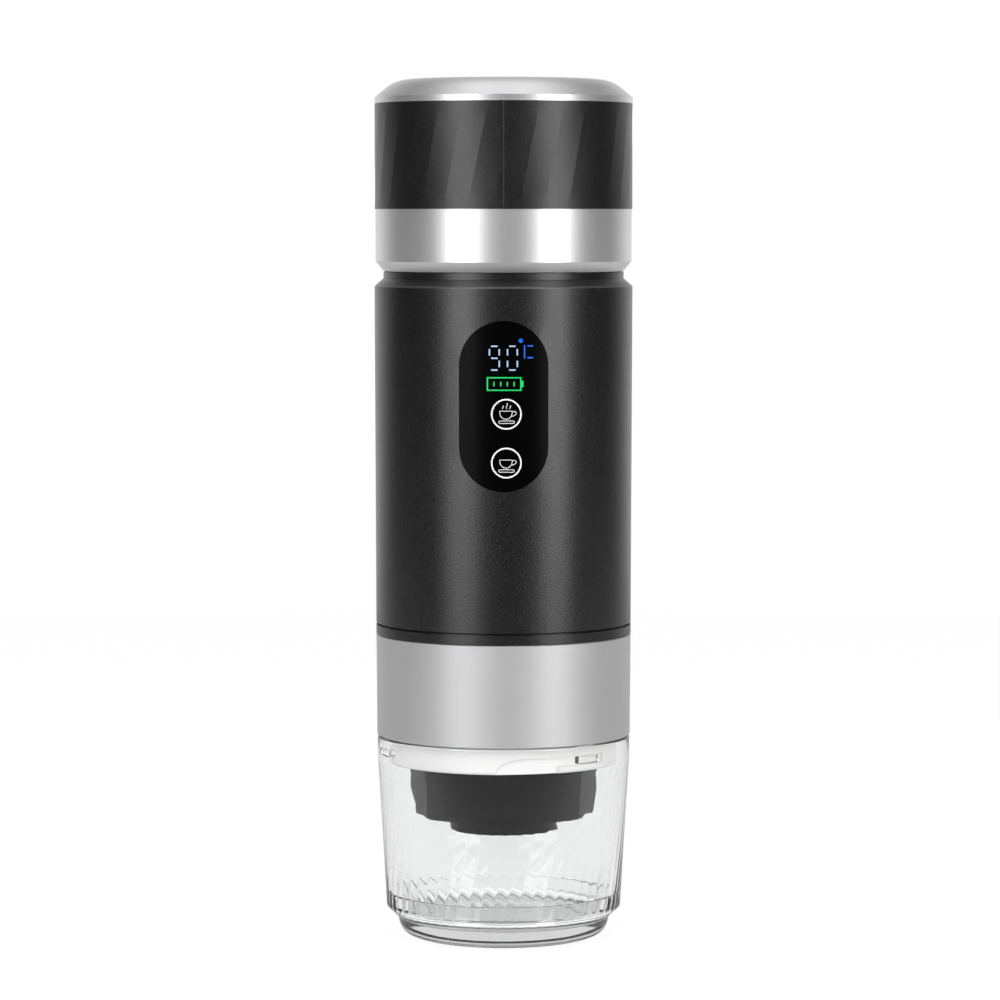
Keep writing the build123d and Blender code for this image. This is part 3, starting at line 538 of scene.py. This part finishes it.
class Growth(Board):
    """A geometry tree with named inputs and one mesh out."""

    def __init__(self, name, seeded):
        super().__init__(bpy.data.node_groups.new(name, "GeometryNodeTree"))
        self.entry = self.tree.nodes.new("NodeGroupInput")
        self.exit = self.tree.nodes.new("NodeGroupOutput")
        self.tree.interface.new_socket("Mesh", in_out="OUTPUT", socket_type="NodeSocketGeometry")
        self.seed = self.take("Seed", "NodeSocketGeometry") if seeded else None

    def take(self, name, kind="NodeSocketFloat"):
        """A named input of the tree."""
        self.tree.interface.new_socket(name, in_out="INPUT", socket_type=kind)
        return Wire(self, self.entry.outputs[name])

    def give(self, geometry):
        """End the tree: real meshes in the given material."""
        real = self.node("GeometryNodeRealizeInstances", sockets={0: geometry})
        painted = self.node("GeometryNodeSetMaterial", sockets={0: real, 2: self.take("Finish", "NodeSocketMaterial")})
        self.feed(self.exit.inputs[0], painted)
        return self.tree


FLUTE_FADE = 2.4
FLUTE_END = 1.2 * MM


def flute_tree():
    """Twist a turned cup along its slant and press ribs into its outer wall, shallower towards the top."""
    tree = Growth("cup_flutes", seeded=True)
    count = tree.take("Count", "NodeSocketInt")
    depth = tree.take("Depth")
    least = tree.take("Least")
    lean = tree.take("Lean")
    bottom = tree.take("Bottom")
    top = tree.take("Top")
    within = tree.take("Within")
    x, y, z = tree.parts(tree.node("GeometryNodeInputPosition"))
    radius = (x * x + y * y).math("SQRT")
    angle = y.math("ARCTAN2", x)
    wall = radius > within
    climb = z.math("MINIMUM", top) - bottom
    share = (climb / (top - bottom)).math("MAXIMUM", 0.0)
    across = (angle * count / (2 * math.pi)).math("FRACT") - 0.5
    deep = least + (depth - least) * (1.0 - share).math("POWER", FLUTE_FADE)
    reach = radius - wall * deep * tree.step(top - z, 0.0, FLUTE_END) * across * across * 4.0
    turn = angle + lean * (wall * climb + (1.0 - wall) * (z > bottom) * (top - bottom))
    spot = tree.joined(reach * turn.math("COSINE"), reach * turn.math("SINE"), z)
    return tree.give(tree.node("GeometryNodeSetPosition", sockets={"Geometry": tree.seed, "Position": spot}))


THREAD_POINTS = 361
THREAD_ROOT = 0.3
THREAD_RUN_OUT = 0.04
THREAD_TIP = 0.01


def thread_tree():
    """Wind a ridge round the axis, outward or inward from a wall, sinking into it at both ends.

    The flat grid's long way is along the thread, and its four strips are the sides of the ridge.
    """
    tree = Growth("screw_thread", seeded=False)
    radius = tree.take("Radius")
    ridge = tree.take("Ridge")
    width = tree.take("Width")
    lead = tree.take("Lead")
    turns = tree.take("Turns")
    bottom = tree.take("Bottom")
    start = tree.take("Start")
    size = {"Size X": 1.0, "Size Y": 4.0, "Vertices X": THREAD_POINTS, "Vertices Y": 5}
    grid = tree.node("GeometryNodeMeshGrid", sockets=size)
    along, side, _ = tree.parts(tree.node("GeometryNodeInputPosition"))
    share = along + 0.5
    side = (side + 2.0).math("ROUND")
    from_end = 0.5 - abs(along)
    crest = (abs(side - 1.5) < 1.0) * tree.step(from_end, 0.0, THREAD_RUN_OUT)
    offset = (side.math("MODULO", 4.0) - 1.5) / 3.0 * tree.step(from_end, 0.0, THREAD_TIP)
    angle = start + share * turns * 2 * math.pi
    reach = radius + ridge * (crest * (1.0 + THREAD_ROOT) - THREAD_ROOT)
    height = bottom + share * turns * lead + offset * width
    spot = tree.joined(reach * angle.math("COSINE"), reach * angle.math("SINE"), height)
    wound = tree.node("GeometryNodeSetPosition", sockets={"Geometry": grid, "Position": spot})
    merged = tree.node("GeometryNodeMergeByDistance", sockets={"Geometry": wound, "Distance": 1e-6})
    return tree.give(tree.node("GeometryNodeFlipFaces", sockets={"Mesh": merged, "Selection": ridge < 0.0}))


def sign_tree():
    """Sweep the lines of a flat sign into thin strips, and bend them round the window."""
    tree = Growth("display_sign", seeded=True)
    width = tree.take("Width")
    radius = tree.take("Radius")
    lift = tree.take("Lift")
    cut = tree.node("GeometryNodeSubdivideCurve", sockets={0: tree.seed, 1: 4})
    upright = tree.node("GeometryNodeSetCurveNormal", {"mode": "Z_UP"}, {0: cut})
    profile = tree.node("GeometryNodeCurvePrimitiveQuadrilateral", sockets={0: width, 1: lift * 4.0})
    strip = tree.node("GeometryNodeCurveToMesh", sockets={0: upright, 1: profile, "Fill Caps": True})
    x, y, z = tree.parts(tree.node("GeometryNodeInputPosition"))
    reach = radius + z - lift
    spot = tree.joined(reach * (x / radius).math("SINE"), -(reach * (x / radius).math("COSINE")), y)
    return tree.give(tree.node("GeometryNodeSetPosition", sockets={"Geometry": strip, "Position": spot}))


# Operators

GRAIN = 0.45 * MM
SILICONE = (0.72, 0.72, 0.7)


def paint(finish, slot, *names):
    """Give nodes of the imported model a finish."""
    for name in names:
        node = nodes[name]
        node.data.materials.clear()
        node.data.materials.append(finish.material)


class DressLid(bpy.types.Operator):
    """Finish the lid's cap, ring, grip and inner pieces"""

    bl_idname = "espresso.dress_lid"
    bl_label = "Dress Lid"

    def execute(self, context):
        colours = context.scene.espresso_colours
        silver = satin_metal("lid_silver", colours.silver, 0.42, grain=0.4 * MM, turned_share=0.4, metal=0.88)
        paint(silver, "satin_silver", "lid_cap", "lid_ring")
        grip = grained_paint("grip_black", colours.black, 0.36, GRAIN, depth=0.02 * MM, under=self.softer_flats)
        x, y, _ = grip.parts(grip.place())
        # Mould seam down the front, painted lighter grey: a real parting line with a painted highlight along it.
        seam_painted_highlight = (abs(x) < 0.06 * MM) * (y < 0.0)
        grip.shade(seam_painted_highlight * 0.5, grey(0.12))
        paint(grip, "black_plastic", "lid_grip")
        paint(moulded("liner_grey", (0.1, 0.1, 0.105), 0.45), "inner_plastic", "lid_liner")
        paint(moulded("lid_silicone", SILICONE, 0.55), "silicone", "lid_gasket", "vent_valve")
        return {"FINISHED"}

    def softer_flats(self, grip):
        """A normal that softens the grip's flats, and more so where they fade out at both ends."""
        _, _, z = grip.parts(grip.place())
        middle = (low("lid_grip").z + high("lid_grip").z) / 2
        return grip.rounder(0.5 + 0.5 * grip.step(abs(z - middle), 9 * MM, 14 * MM))


class DressBody(bpy.types.Operator):
    """Finish the body's shell, neck, base, socket and socket cover"""

    bl_idname = "espresso.dress_body"
    bl_label = "Dress Body"

    def execute(self, context):
        colours = context.scene.espresso_colours
        shell = grained_paint("shell_paint", colours.shell, 0.32, GRAIN, depth=0.05 * MM)
        paint(shell, "black_paint", "body_shell")
        trim = grained_paint("trim_black", colours.black, 0.33, GRAIN, depth=0.03 * MM)
        _, _, z = trim.parts(trim.place())
        rise = z - high("body_shell").z
        # Painted highlight: a thin grey, partly metallic band on the neck's shoulder edge, just above the shell.
        painted_highlight_edge = trim.step(rise, 0.05 * MM, 0.25 * MM) * trim.step(-rise, -0.75 * MM, -0.5 * MM)
        trim.shade(painted_highlight_edge, grey(0.12))
        trim.set(Metallic=0.7 * painted_highlight_edge)
        paint(trim, "black_plastic", "neck_ring", "body_base")
        paint(moulded("cover_rubber", (0.02, 0.02, 0.021), 0.62), "black_plastic", "port_cover")
        paint(brushed_steel("socket_steel", (0.5, 0.5, 0.51), 0.32, line=0.1 * MM), "steel_dark", "charge_port")
        return {"FINISHED"}


class DressBrewUnit(bpy.types.Operator):
    """Finish the sleeve, chamber, basket, collar and outlet cap"""

    bl_idname = "espresso.dress_brew_unit"
    bl_label = "Dress Brew Unit"

    def execute(self, context):
        colours = context.scene.espresso_colours
        silver = scaled(colours.silver, 0.77)
        sleeve = satin_metal("sleeve_silver", silver, 0.56, grain=0.4 * MM, turned_share=0.45, metal=0.7)
        paint(sleeve, "satin_silver", "brew_sleeve")
        paint(self.white_collar(colours.white), "white_plastic", "cup_collar")
        cap = grained_paint("outlet_black", scaled(colours.black, 0.3), 0.45, GRAIN, depth=0.03 * MM, shine=0.06)
        paint(cap, "black_plastic", "outlet_cap")
        paint(moulded("chamber_grey", (0.09, 0.09, 0.095), 0.45), "inner_plastic", "brew_chamber", "brew_head")
        paint(moulded("brew_silicone", SILICONE, 0.55), "silicone", "chamber_gasket", "outlet_gasket")
        steel = brushed_steel("basket_steel", (0.64, 0.64, 0.63), 0.28, line=0.08 * MM)
        paint(steel, "steel", "coffee_basket", "shower_screen")
        return {"FINISHED"}

    def white_collar(self, colour):
        """White plastic, with painted shade on the low walls of the bayonet's ramps."""
        collar = moulded("collar_white", colour, 0.38)
        x, y, z = collar.parts(collar.place())
        radius = (x * x + y * y).math("SQRT")
        inner, outer, bottom = 31.0 * MM, 31.27 * MM, 49.1 * MM
        # Painted shade on the ramp walls, between these radii.
        painted_wall_shade = (radius > inner) * (radius < outer) * (z > bottom)
        collar.shade(painted_wall_shade * 0.6, grey(0.3))
        return collar


class DressInnerWorks(bpy.types.Operator):
    """Finish the tank, heater, cells, boards, pump and hoses"""

    bl_idname = "espresso.dress_inner_works"
    bl_label = "Dress Inner Works"

    def execute(self, context):
        paint(brushed_steel("tank_steel", (0.66, 0.66, 0.65), 0.26, line=0.07 * MM), "steel", "water_tank")
        motor = brushed_steel("motor_steel", (0.42, 0.42, 0.43), 0.35, line=0.1 * MM)
        paint(motor, "steel_dark", "pump_motor", "pump_rotor")
        paint(satin_metal("heater_metal", (0.55, 0.54, 0.52), 0.45, grain=0.3 * MM), "heater", "tank_heater")
        brass = satin_metal("fitting_brass", (0.72, 0.52, 0.24), 0.32, grain=0.2 * MM)
        paint(brass, "brass", "temp_sensor", "tank_outlet")
        paint(cell_wrap("cell_film", (0.03, 0.16, 0.4)), "cell_wrap", "battery_cells")
        board = circuit_board("board_green", (0.02, 0.16, 0.06))
        paint(board, "circuit_board", "display_board", "main_board", "charge_board")
        paint(moulded("lamp_white", (0.82, 0.82, 0.82), 0.4), "lamp_block", "led_display")
        soft = moulded("hose_silicone", (0.74, 0.74, 0.72), 0.5)
        paint(soft, "silicone", "heater_pad", "touch_pads", "inlet_hose", "outlet_hose")
        frame_grey = moulded("frame_grey", (0.12, 0.12, 0.125), 0.5)
        paint(frame_grey, "inner_plastic", "frame_base", "frame_top", "pump_head", "pump_housing")
        return {"FINISHED"}


class CutThreads(bpy.types.Operator):
    """Wind the screw threads of the neck, lid, spigot and brew chamber"""

    bl_idname = "espresso.cut_threads"
    bl_label = "Cut Threads"

    def execute(self, context):
        sizes = context.scene.espresso_threads
        tree = thread_tree()
        neck = high("neck_ring").z - 14 * MM
        spigot = low("body_base").z + 2 * MM
        chamber = low("body_base").z + 1 * MM
        outward, inward, half_turn = 1, -1, math.pi
        for name, body, slot, like, radius, way, bottom, turns, start in (
            ("neck_thread", "machine", "black_plastic", "neck_ring", 30.4, outward, neck, 1.5, 0.0),
            ("lid_thread", "lid", "inner_plastic", "lid_liner", 31.9, inward, neck, 1.5, half_turn),
            ("spigot_thread", "machine", "black_plastic", "neck_ring", 30.0, outward, spigot, 1.75, 0.0),
            ("chamber_thread", "brew_unit", "inner_plastic", "brew_chamber", 31.5, inward, chamber, 1.75, half_turn),
        ):
            inputs = {"Radius": radius * MM, "Ridge": way * sizes.ridge, "Width": sizes.width, "Lead": sizes.lead}
            inputs |= {"Turns": turns, "Bottom": bottom, "Start": start, "Finish": nodes[like].data.materials[0]}
            piece = grown(name, tree, inputs)
            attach(piece, body)
        return {"FINISHED"}


class LightDisplay(bpy.types.Operator):
    """Finish the window and draw its digits, battery and key signs"""

    bl_idname = "espresso.light_display"
    bl_label = "Light Display"

    def execute(self, context):
        signs = context.scene.espresso_signs
        gloss = Finish("window_black", (0.001, 0.001, 0.0012), 0.12, Specular_IOR_Level=0.05)
        haze = gloss.noise(6 * MM, 3.0)
        gloss.set(Roughness=0.24 + 0.06 * haze, Base_Color=gloss.tint(haze, 0.7, 1.3))
        paint(gloss, "panel_black", "display_panel")
        tree = sign_tree()
        radius = -low("display_panel").y
        printed = moulded("key_print", signs.keys, 0.5)
        for name, lines, width, finish in (
            ("digits", digit_lines(), 0.38, glow("digit_glow", signs.digits)),
            ("degree_sign", degree_lines(), 0.36, glow("degree_glow", signs.unit)),
            ("battery_sign", battery_lines(), 0.36, glow("battery_glow", signs.battery)),
            ("key_rings", ring_lines(), 0.4, printed),
            ("key_cups", cup_lines(), 0.16, printed),
        ):
            curve = bpy.data.curves.new(name + "_lines", "CURVE")
            curve.dimensions = "3D"
            for closed, *points in lines:
                spline = curve.splines.new("POLY")
                spline.points.add(len(points) - 1)
                spline.use_cyclic_u = closed
                for spot, (x, z) in zip(spline.points, points):
                    spot.co = (x * MM, z * MM, 0.0, 1.0)
            inputs = {"Width": width * MM, "Radius": radius, "Lift": signs.lift, "Finish": finish.material}
            piece = grown(name, tree, inputs, shown(name + "_lines", curve))
            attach(piece, "machine")
        return {"FINISHED"}


def arc(centre, radius, start, end, steps=24):
    """Points of an arc, with its angles in degrees."""
    angles = [math.radians(start + (end - start) * step / steps) for step in range(steps + 1)]
    return [(centre[0] + radius * math.cos(a), centre[1] + radius * math.sin(a)) for a in angles]


def dash(x, z, half, level):
    """A short straight line of a digit, level or upright."""
    return (False, (x - half, z), (x + half, z)) if level else (False, (x, z - half), (x, z + half))


# Places on the window are in millimetres: across from its middle, and up from the cup's foot.
DIGITS_MIDDLE = 161.0
KEY_ACROSS = 0.72
UPPER_KEY, LOWER_KEY = 146.05, 132.98
KEY_RADIUS = 3.92


def digit_lines():
    """Two digits of seven short lines each, some of them dark."""
    lines = []
    for middle, lit in ((-2.5, "abcdfg"), (2.33, "abcdef")):
        spots = {
            "a": (0.0, 3.2, True),
            "g": (0.0, 0.0, True),
            "d": (0.0, -3.15, True),
            "f": (-1.31, 1.6, False),
            "b": (1.31, 1.6, False),
            "e": (-1.31, -1.5, False),
            "c": (1.31, -1.5, False),
        }
        for key in lit:
            x, z, level = spots[key]
            lines.append(dash(middle + x, DIGITS_MIDDLE + z, 0.86, level))
    return lines


def degree_lines():
    """A degree dot and a letter of three lines."""
    dots = [(True, *arc((4.6, 165.65), radius, 0, 345, 23)) for radius in (0.18, 0.4)]
    letter = [(False, (5.6, 160.9), (5.6, 164.5)), dash(7.13, 164.27, 0.75, True), dash(7.16, 161.13, 0.75, True)]
    return dots + letter


def battery_lines():
    """Outline of a battery with its tip, and four bars."""
    left, right, bottom, top = -4.36, 4.6, 152.45, 155.78
    lines = [(False, (left - 0.18, z), (right + 0.18, z)) for z in (bottom, top)]
    lines += [(False, (x, bottom), (x, top)) for x in (left, right)]
    lines += [(False, (right + step, 153.25), (right + step, 155.0)) for step in (0.3, 0.55)]
    lines += [dash(x, 154.12, 0.62, False) for x in (-2.6, -0.78, 0.98, 2.8)]
    return lines


def ring_lines():
    """Rings round the two keys."""
    return [(True, *arc((KEY_ACROSS, z), KEY_RADIUS, 0, 354, 59)) for z in (UPPER_KEY, LOWER_KEY)]


def cup_lines():
    """A cup on a saucer in each ring, with steam over the upper one."""
    lines = []
    for z, steam in ((UPPER_KEY, True), (LOWER_KEY, False)):
        strokes = [
            (True, (-1.83, 0.82), (1.64, 0.82), (1.58, 0.35), *arc((-0.1, 0.3), 1.62, 0, -180, 16), (-1.77, 0.35)),
            (False, (1.6, 0.66), (2.25, 0.72), *arc((2.2, 0.25), 0.45, 80, -60, 8), (1.95, -0.45), (1.25, -0.62)),
            (True, *arc((-1.68, -2.12), 0.34, 90, 270, 8), *arc((1.8, -2.12), 0.34, -90, 90, 8)),
        ]
        if steam:
            for x, bottom, top in ((-0.92, 1.42, 2.3), (0.12, 1.45, 3.0), (1.02, 1.4, 2.3)):
                rise = (top - bottom) / 8
                wave = [(x + 0.16 * math.sin(step * math.pi / 4), top - step * rise) for step in range(9)]
                strokes.append((False, *wave))
        for closed, *points in strokes:
            lines.append((closed, *((x + KEY_ACROSS, dz + z) for x, dz in points)))
    return lines


class MouldCup(bpy.types.Operator):
    """Mould the clear cup with its flutes, lugs and stepped foot"""

    bl_idname = "espresso.mould_cup"
    bl_label = "Mould Cup"

    def execute(self, context):
        sizes = context.scene.espresso_cup
        rim = sizes.rim_radius / MM
        height = sizes.height / MM
        clear = clear_plastic("cup_clear")
        top, bottom = height - 7.4, 8.0
        recess, floor, ring_line = 1.2, 6.8, 12.0
        wall_top, wall_foot = rim - 0.15, rim - 2.5
        wall_rows, points_per_flute = 28, 8
        rows = [row / wall_rows for row in range(wall_rows + 1)]
        wall = [(wall_foot + (wall_top - wall_foot) * row, bottom + (top - bottom) * row, 0.0) for row in rows]
        corners = [
            # recess under the foot, the foot and its step
            (0.0, recess, 0.0),
            (rim - 15.9, recess, 0.5),
            (rim - 15.9, 0.0, 0.4),
            (rim - 6.8, 0.0, 4.8),
            (rim - 5.5, 5.2, 0.6),
            # outer wall, rim and the room for the collar
            *wall,
            (rim, height, 0.5),
            (rim - 3.15, height, 0.5),
            (rim - 3.15, top, 1.5),
            # fine ring line on the inner wall, and the floor
            (rim - 5.22, ring_line + 0.25, 0.1),
            (rim - 4.9, ring_line, 0.1),
            (rim - 5.45, ring_line - 0.25, 0.1),
            (rim - 5.9, floor, 1.7),
            (0.0, floor, 0.0),
        ]
        mesh = turned([point * MM for point in softened(corners)], points_per_flute * sizes.flute_count)
        lean = math.tan(sizes.flute_slant) / ((wall_foot + wall_top) / 2 * MM)
        inputs = {"Count": sizes.flute_count, "Depth": sizes.flute_depth, "Least": sizes.flute_least, "Lean": lean}
        inputs |= {"Bottom": bottom * MM, "Top": top * MM, "Within": (wall_foot - 0.01) * MM, "Finish": clear.material}
        cup = grown("clear_cup", flute_tree(), inputs, shown("cup_seed", mesh))
        cup = self.fitted(cup, clear.material, rim)
        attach(cup, "drinking_cup")
        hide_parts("cup")
        return {"FINISHED"}

    def fitted(self, cup, material, rim):
        """Add the three lugs inside the rim and take out the six dimples under the foot."""
        tools = []
        lug_middle, lug_arc, lug_bottom, lug_top = 44.5, 13.0, 50.6 * MM, 52.6 * MM
        for lug in range(3):
            start = 120 * lug - 90 + lug_middle - lug_arc / 2
            block = sector((rim - 4.7) * MM, (rim - 1.6) * MM, lug_bottom, lug_top, start, lug_arc)
            tools.append((shown("lug", block), "UNION"))
        ring, wide, deep = 22.3 * MM, 1.4, 1.0
        for dimple in range(6):
            angle = math.radians(10 + 60 * dimple)
            ball = softened([(0.0, -deep, 0.0), (wide, -deep, 0.0), (wide, deep, 0.9), (0.0, deep, 0.0)])
            mesh = turned([point * MM for point in ball], 20)
            mesh.transform(Matrix.Translation((ring * math.cos(angle), ring * math.sin(angle), 0.0)))
            tools.append((shown("dimple", mesh), "DIFFERENCE"))
        for tool, operation in tools:
            modifier = cup.modifiers.new(tool.name, "BOOLEAN")
            modifier.operation = operation
            modifier.solver = "EXACT"
            modifier.object = tool
        made = finished("clear_cup", cup, material, 30.0)
        for tool, _ in tools:
            bpy.data.objects.remove(tool)
        return made


class SetStage(bpy.types.Operator):
    """Set the floor, the soft boxes, the white room and the camera"""

    bl_idname = "espresso.set_stage"
    bl_label = "Set Stage"

    def execute(self, context):
        setup = context.scene.espresso_studio
        scene = context.scene
        scene.view_settings.view_transform = "Standard"
        self.lay_floor()
        away, up, tall = 1.25, 0.35, 1.8
        for name, side, width, azimuth in (("soft_box_left", -1, 0.62, 37), ("soft_box_right", 1, 0.53, 46)):
            turn = math.radians(azimuth)
            place = (side * away * math.sin(turn), -away * math.cos(turn), up)
            self.hang_lamp(scene, name, (width, tall), setup.lamp_power, place, 0.13)
        fill = self.hang_lamp(scene, "fill", (1.4, 1.4), setup.fill_power, (0.0, -1.7, 0.6), 0.1)
        fill.visible_glossy = False
        fill.visible_transmission = False
        self.light_room(scene, setup.front_level)
        lens = bpy.data.cameras.new("camera")
        lens.lens = setup.lens
        lens.sensor_width = 36.0
        lens.clip_start, lens.clip_end = 0.05, 50.0
        camera = bpy.data.objects.new("camera", lens)
        scene.collection.objects.link(camera)
        aside = -0.98 * MM
        camera.location = (aside, -setup.distance, setup.height)
        camera.rotation_euler = (math.pi / 2 - setup.pitch, 0.0, 0.0)
        scene.camera = camera
        return {"FINISHED"}

    def hang_lamp(self, scene, name, size, power, place, aim):
        """A flat lamp that faces the machine at a height."""
        lamp = bpy.data.lights.new(name, "AREA")
        lamp.shape = "RECTANGLE"
        lamp.size, lamp.size_y = size
        lamp.energy = power
        box = bpy.data.objects.new(name, lamp)
        scene.collection.objects.link(box)
        box.location = place
        box.rotation_euler = (Vector((0.0, 0.0, aim)) - box.location).to_track_quat("-Z", "Y").to_euler()
        return box

    def lay_floor(self):
        """A wide pale disc that looks white to the lens, with a painted shadow under the cup, and dim in the machine's
        sides.
        """
        wide, thick = 0.9, 2 * MM
        mesh = turned([(0.0, -thick), (wide, -thick), (wide, 0.0), (0.0, 0.0)], 96)
        floor = shown("floor", mesh)
        floor.location.z = -0.02 * MM
        ground = Finish("floor_white", (0.86, 0.86, 0.86), 0.8)
        camera, glossy, clear = (ground.ray(kind) for kind in ("Camera", "Glossy", "Transmission"))
        x, y, _ = ground.parts(ground.place())
        radius = (x * x + y * y).math("SQRT")
        # Painted shadow under the cup: the floor's colour turns grey there, and its glow for rays through the cup
        # fades out.
        past_painted_shadow, glow_past_painted_shadow = ground.step(radius, 0.02, 0.036), ground.step(radius, 0.018, 0.045)
        ground.set(Base_Color=ground.mix(past_painted_shadow, grey(0.4), ground.colour))
        light = ground.node("ShaderNodeEmission", sockets={"Strength": 1.05})
        lit = 0.9 * camera + 0.75 * clear * glow_past_painted_shadow
        white = ground.blend(lit, Wire(ground, ground.shader.outputs[0]), light)
        dim = ground.node("ShaderNodeEmission", sockets={"Strength": 0.15})
        in_front = ground.step(-y, 0.04, 0.2)
        mirrored = (glossy - 0.35 * clear) * in_front
        ground.show("Surface", ground.blend(mirrored * 0.85, white, dim))
        mesh.materials.append(ground.material)

    def light_room(self, scene, front_level):
        """A white room behind and above the machine, with a darker front."""
        world = bpy.data.worlds.new("room")
        world.use_nodes = True
        scene.world = world
        board = Board(world.node_tree)
        x, y, z = board.parts(board.node("ShaderNodeTexCoord", output="Generated"))
        behind = board.step(y, 0.3, 0.95) * (1.0 - 0.6 * board.step(z, 0.2, 0.55))
        middle, flanks = board.step(abs(x), 0.0, 0.16), board.step(abs(x), 0.1, 0.6)
        above = board.step(z, 0.72, 0.97) * (0.85 + 0.55 * middle - 0.75 * flanks)
        clear = board.ray("Transmission") * board.step(y, -0.3, 0.3)
        bright = behind.math("MAXIMUM", above).math("MAXIMUM", 1.2 * clear)
        level = front_level + (1.0 - front_level) * bright
        shade = world.node_tree.nodes["Background"]
        board.feed(shade.inputs["Color"], board.ray("Camera").math("MAXIMUM", level))


CLASSES_OF_SETTINGS = {
    "espresso_cup": CupSizes,
    "espresso_threads": ThreadSizes,
    "espresso_colours": FinishColours,
    "espresso_signs": DisplaySigns,
    "espresso_studio": StudioSetup,
}
OPERATORS = (
    DressLid,
    DressBody,
    DressBrewUnit,
    DressInnerWorks,
    CutThreads,
    LightDisplay,
    MouldCup,
    SetStage,
)


class EspressoPanel(bpy.types.Panel):
    """Steps that build the machine's looks"""

    bl_idname = "VIEW3D_PT_espresso"
    bl_label = "Espresso Machine"
    bl_space_type = "VIEW_3D"
    bl_region_type = "UI"
    bl_category = "Espresso"

    def draw(self, context):
        for operator in OPERATORS:
            self.layout.operator(operator.bl_idname)
        for name, settings in CLASSES_OF_SETTINGS.items():
            box = self.layout.box()
            for field in settings.__annotations__:
                box.prop(getattr(context.scene, name), field)


def register():
    for name, settings in CLASSES_OF_SETTINGS.items():
        bpy.utils.register_class(settings)
        setattr(bpy.types.Scene, name, PointerProperty(type=settings))
    for made in (*OPERATORS, EspressoPanel):
        bpy.utils.register_class(made)


def unregister():
    for made in reversed((*OPERATORS, EspressoPanel)):
        bpy.utils.unregister_class(made)
    for name, settings in CLASSES_OF_SETTINGS.items():
        delattr(bpy.types.Scene, name)
        bpy.utils.unregister_class(settings)


def main():
    register()
    bpy.ops.espresso.dress_lid()
    bpy.ops.espresso.dress_body()
    bpy.ops.espresso.dress_brew_unit()
    bpy.ops.espresso.dress_inner_works()
    bpy.ops.espresso.cut_threads()
    bpy.ops.espresso.light_display()
    bpy.ops.espresso.mould_cup()
    bpy.ops.espresso.set_stage()


if __name__ == "__main__":
    main()
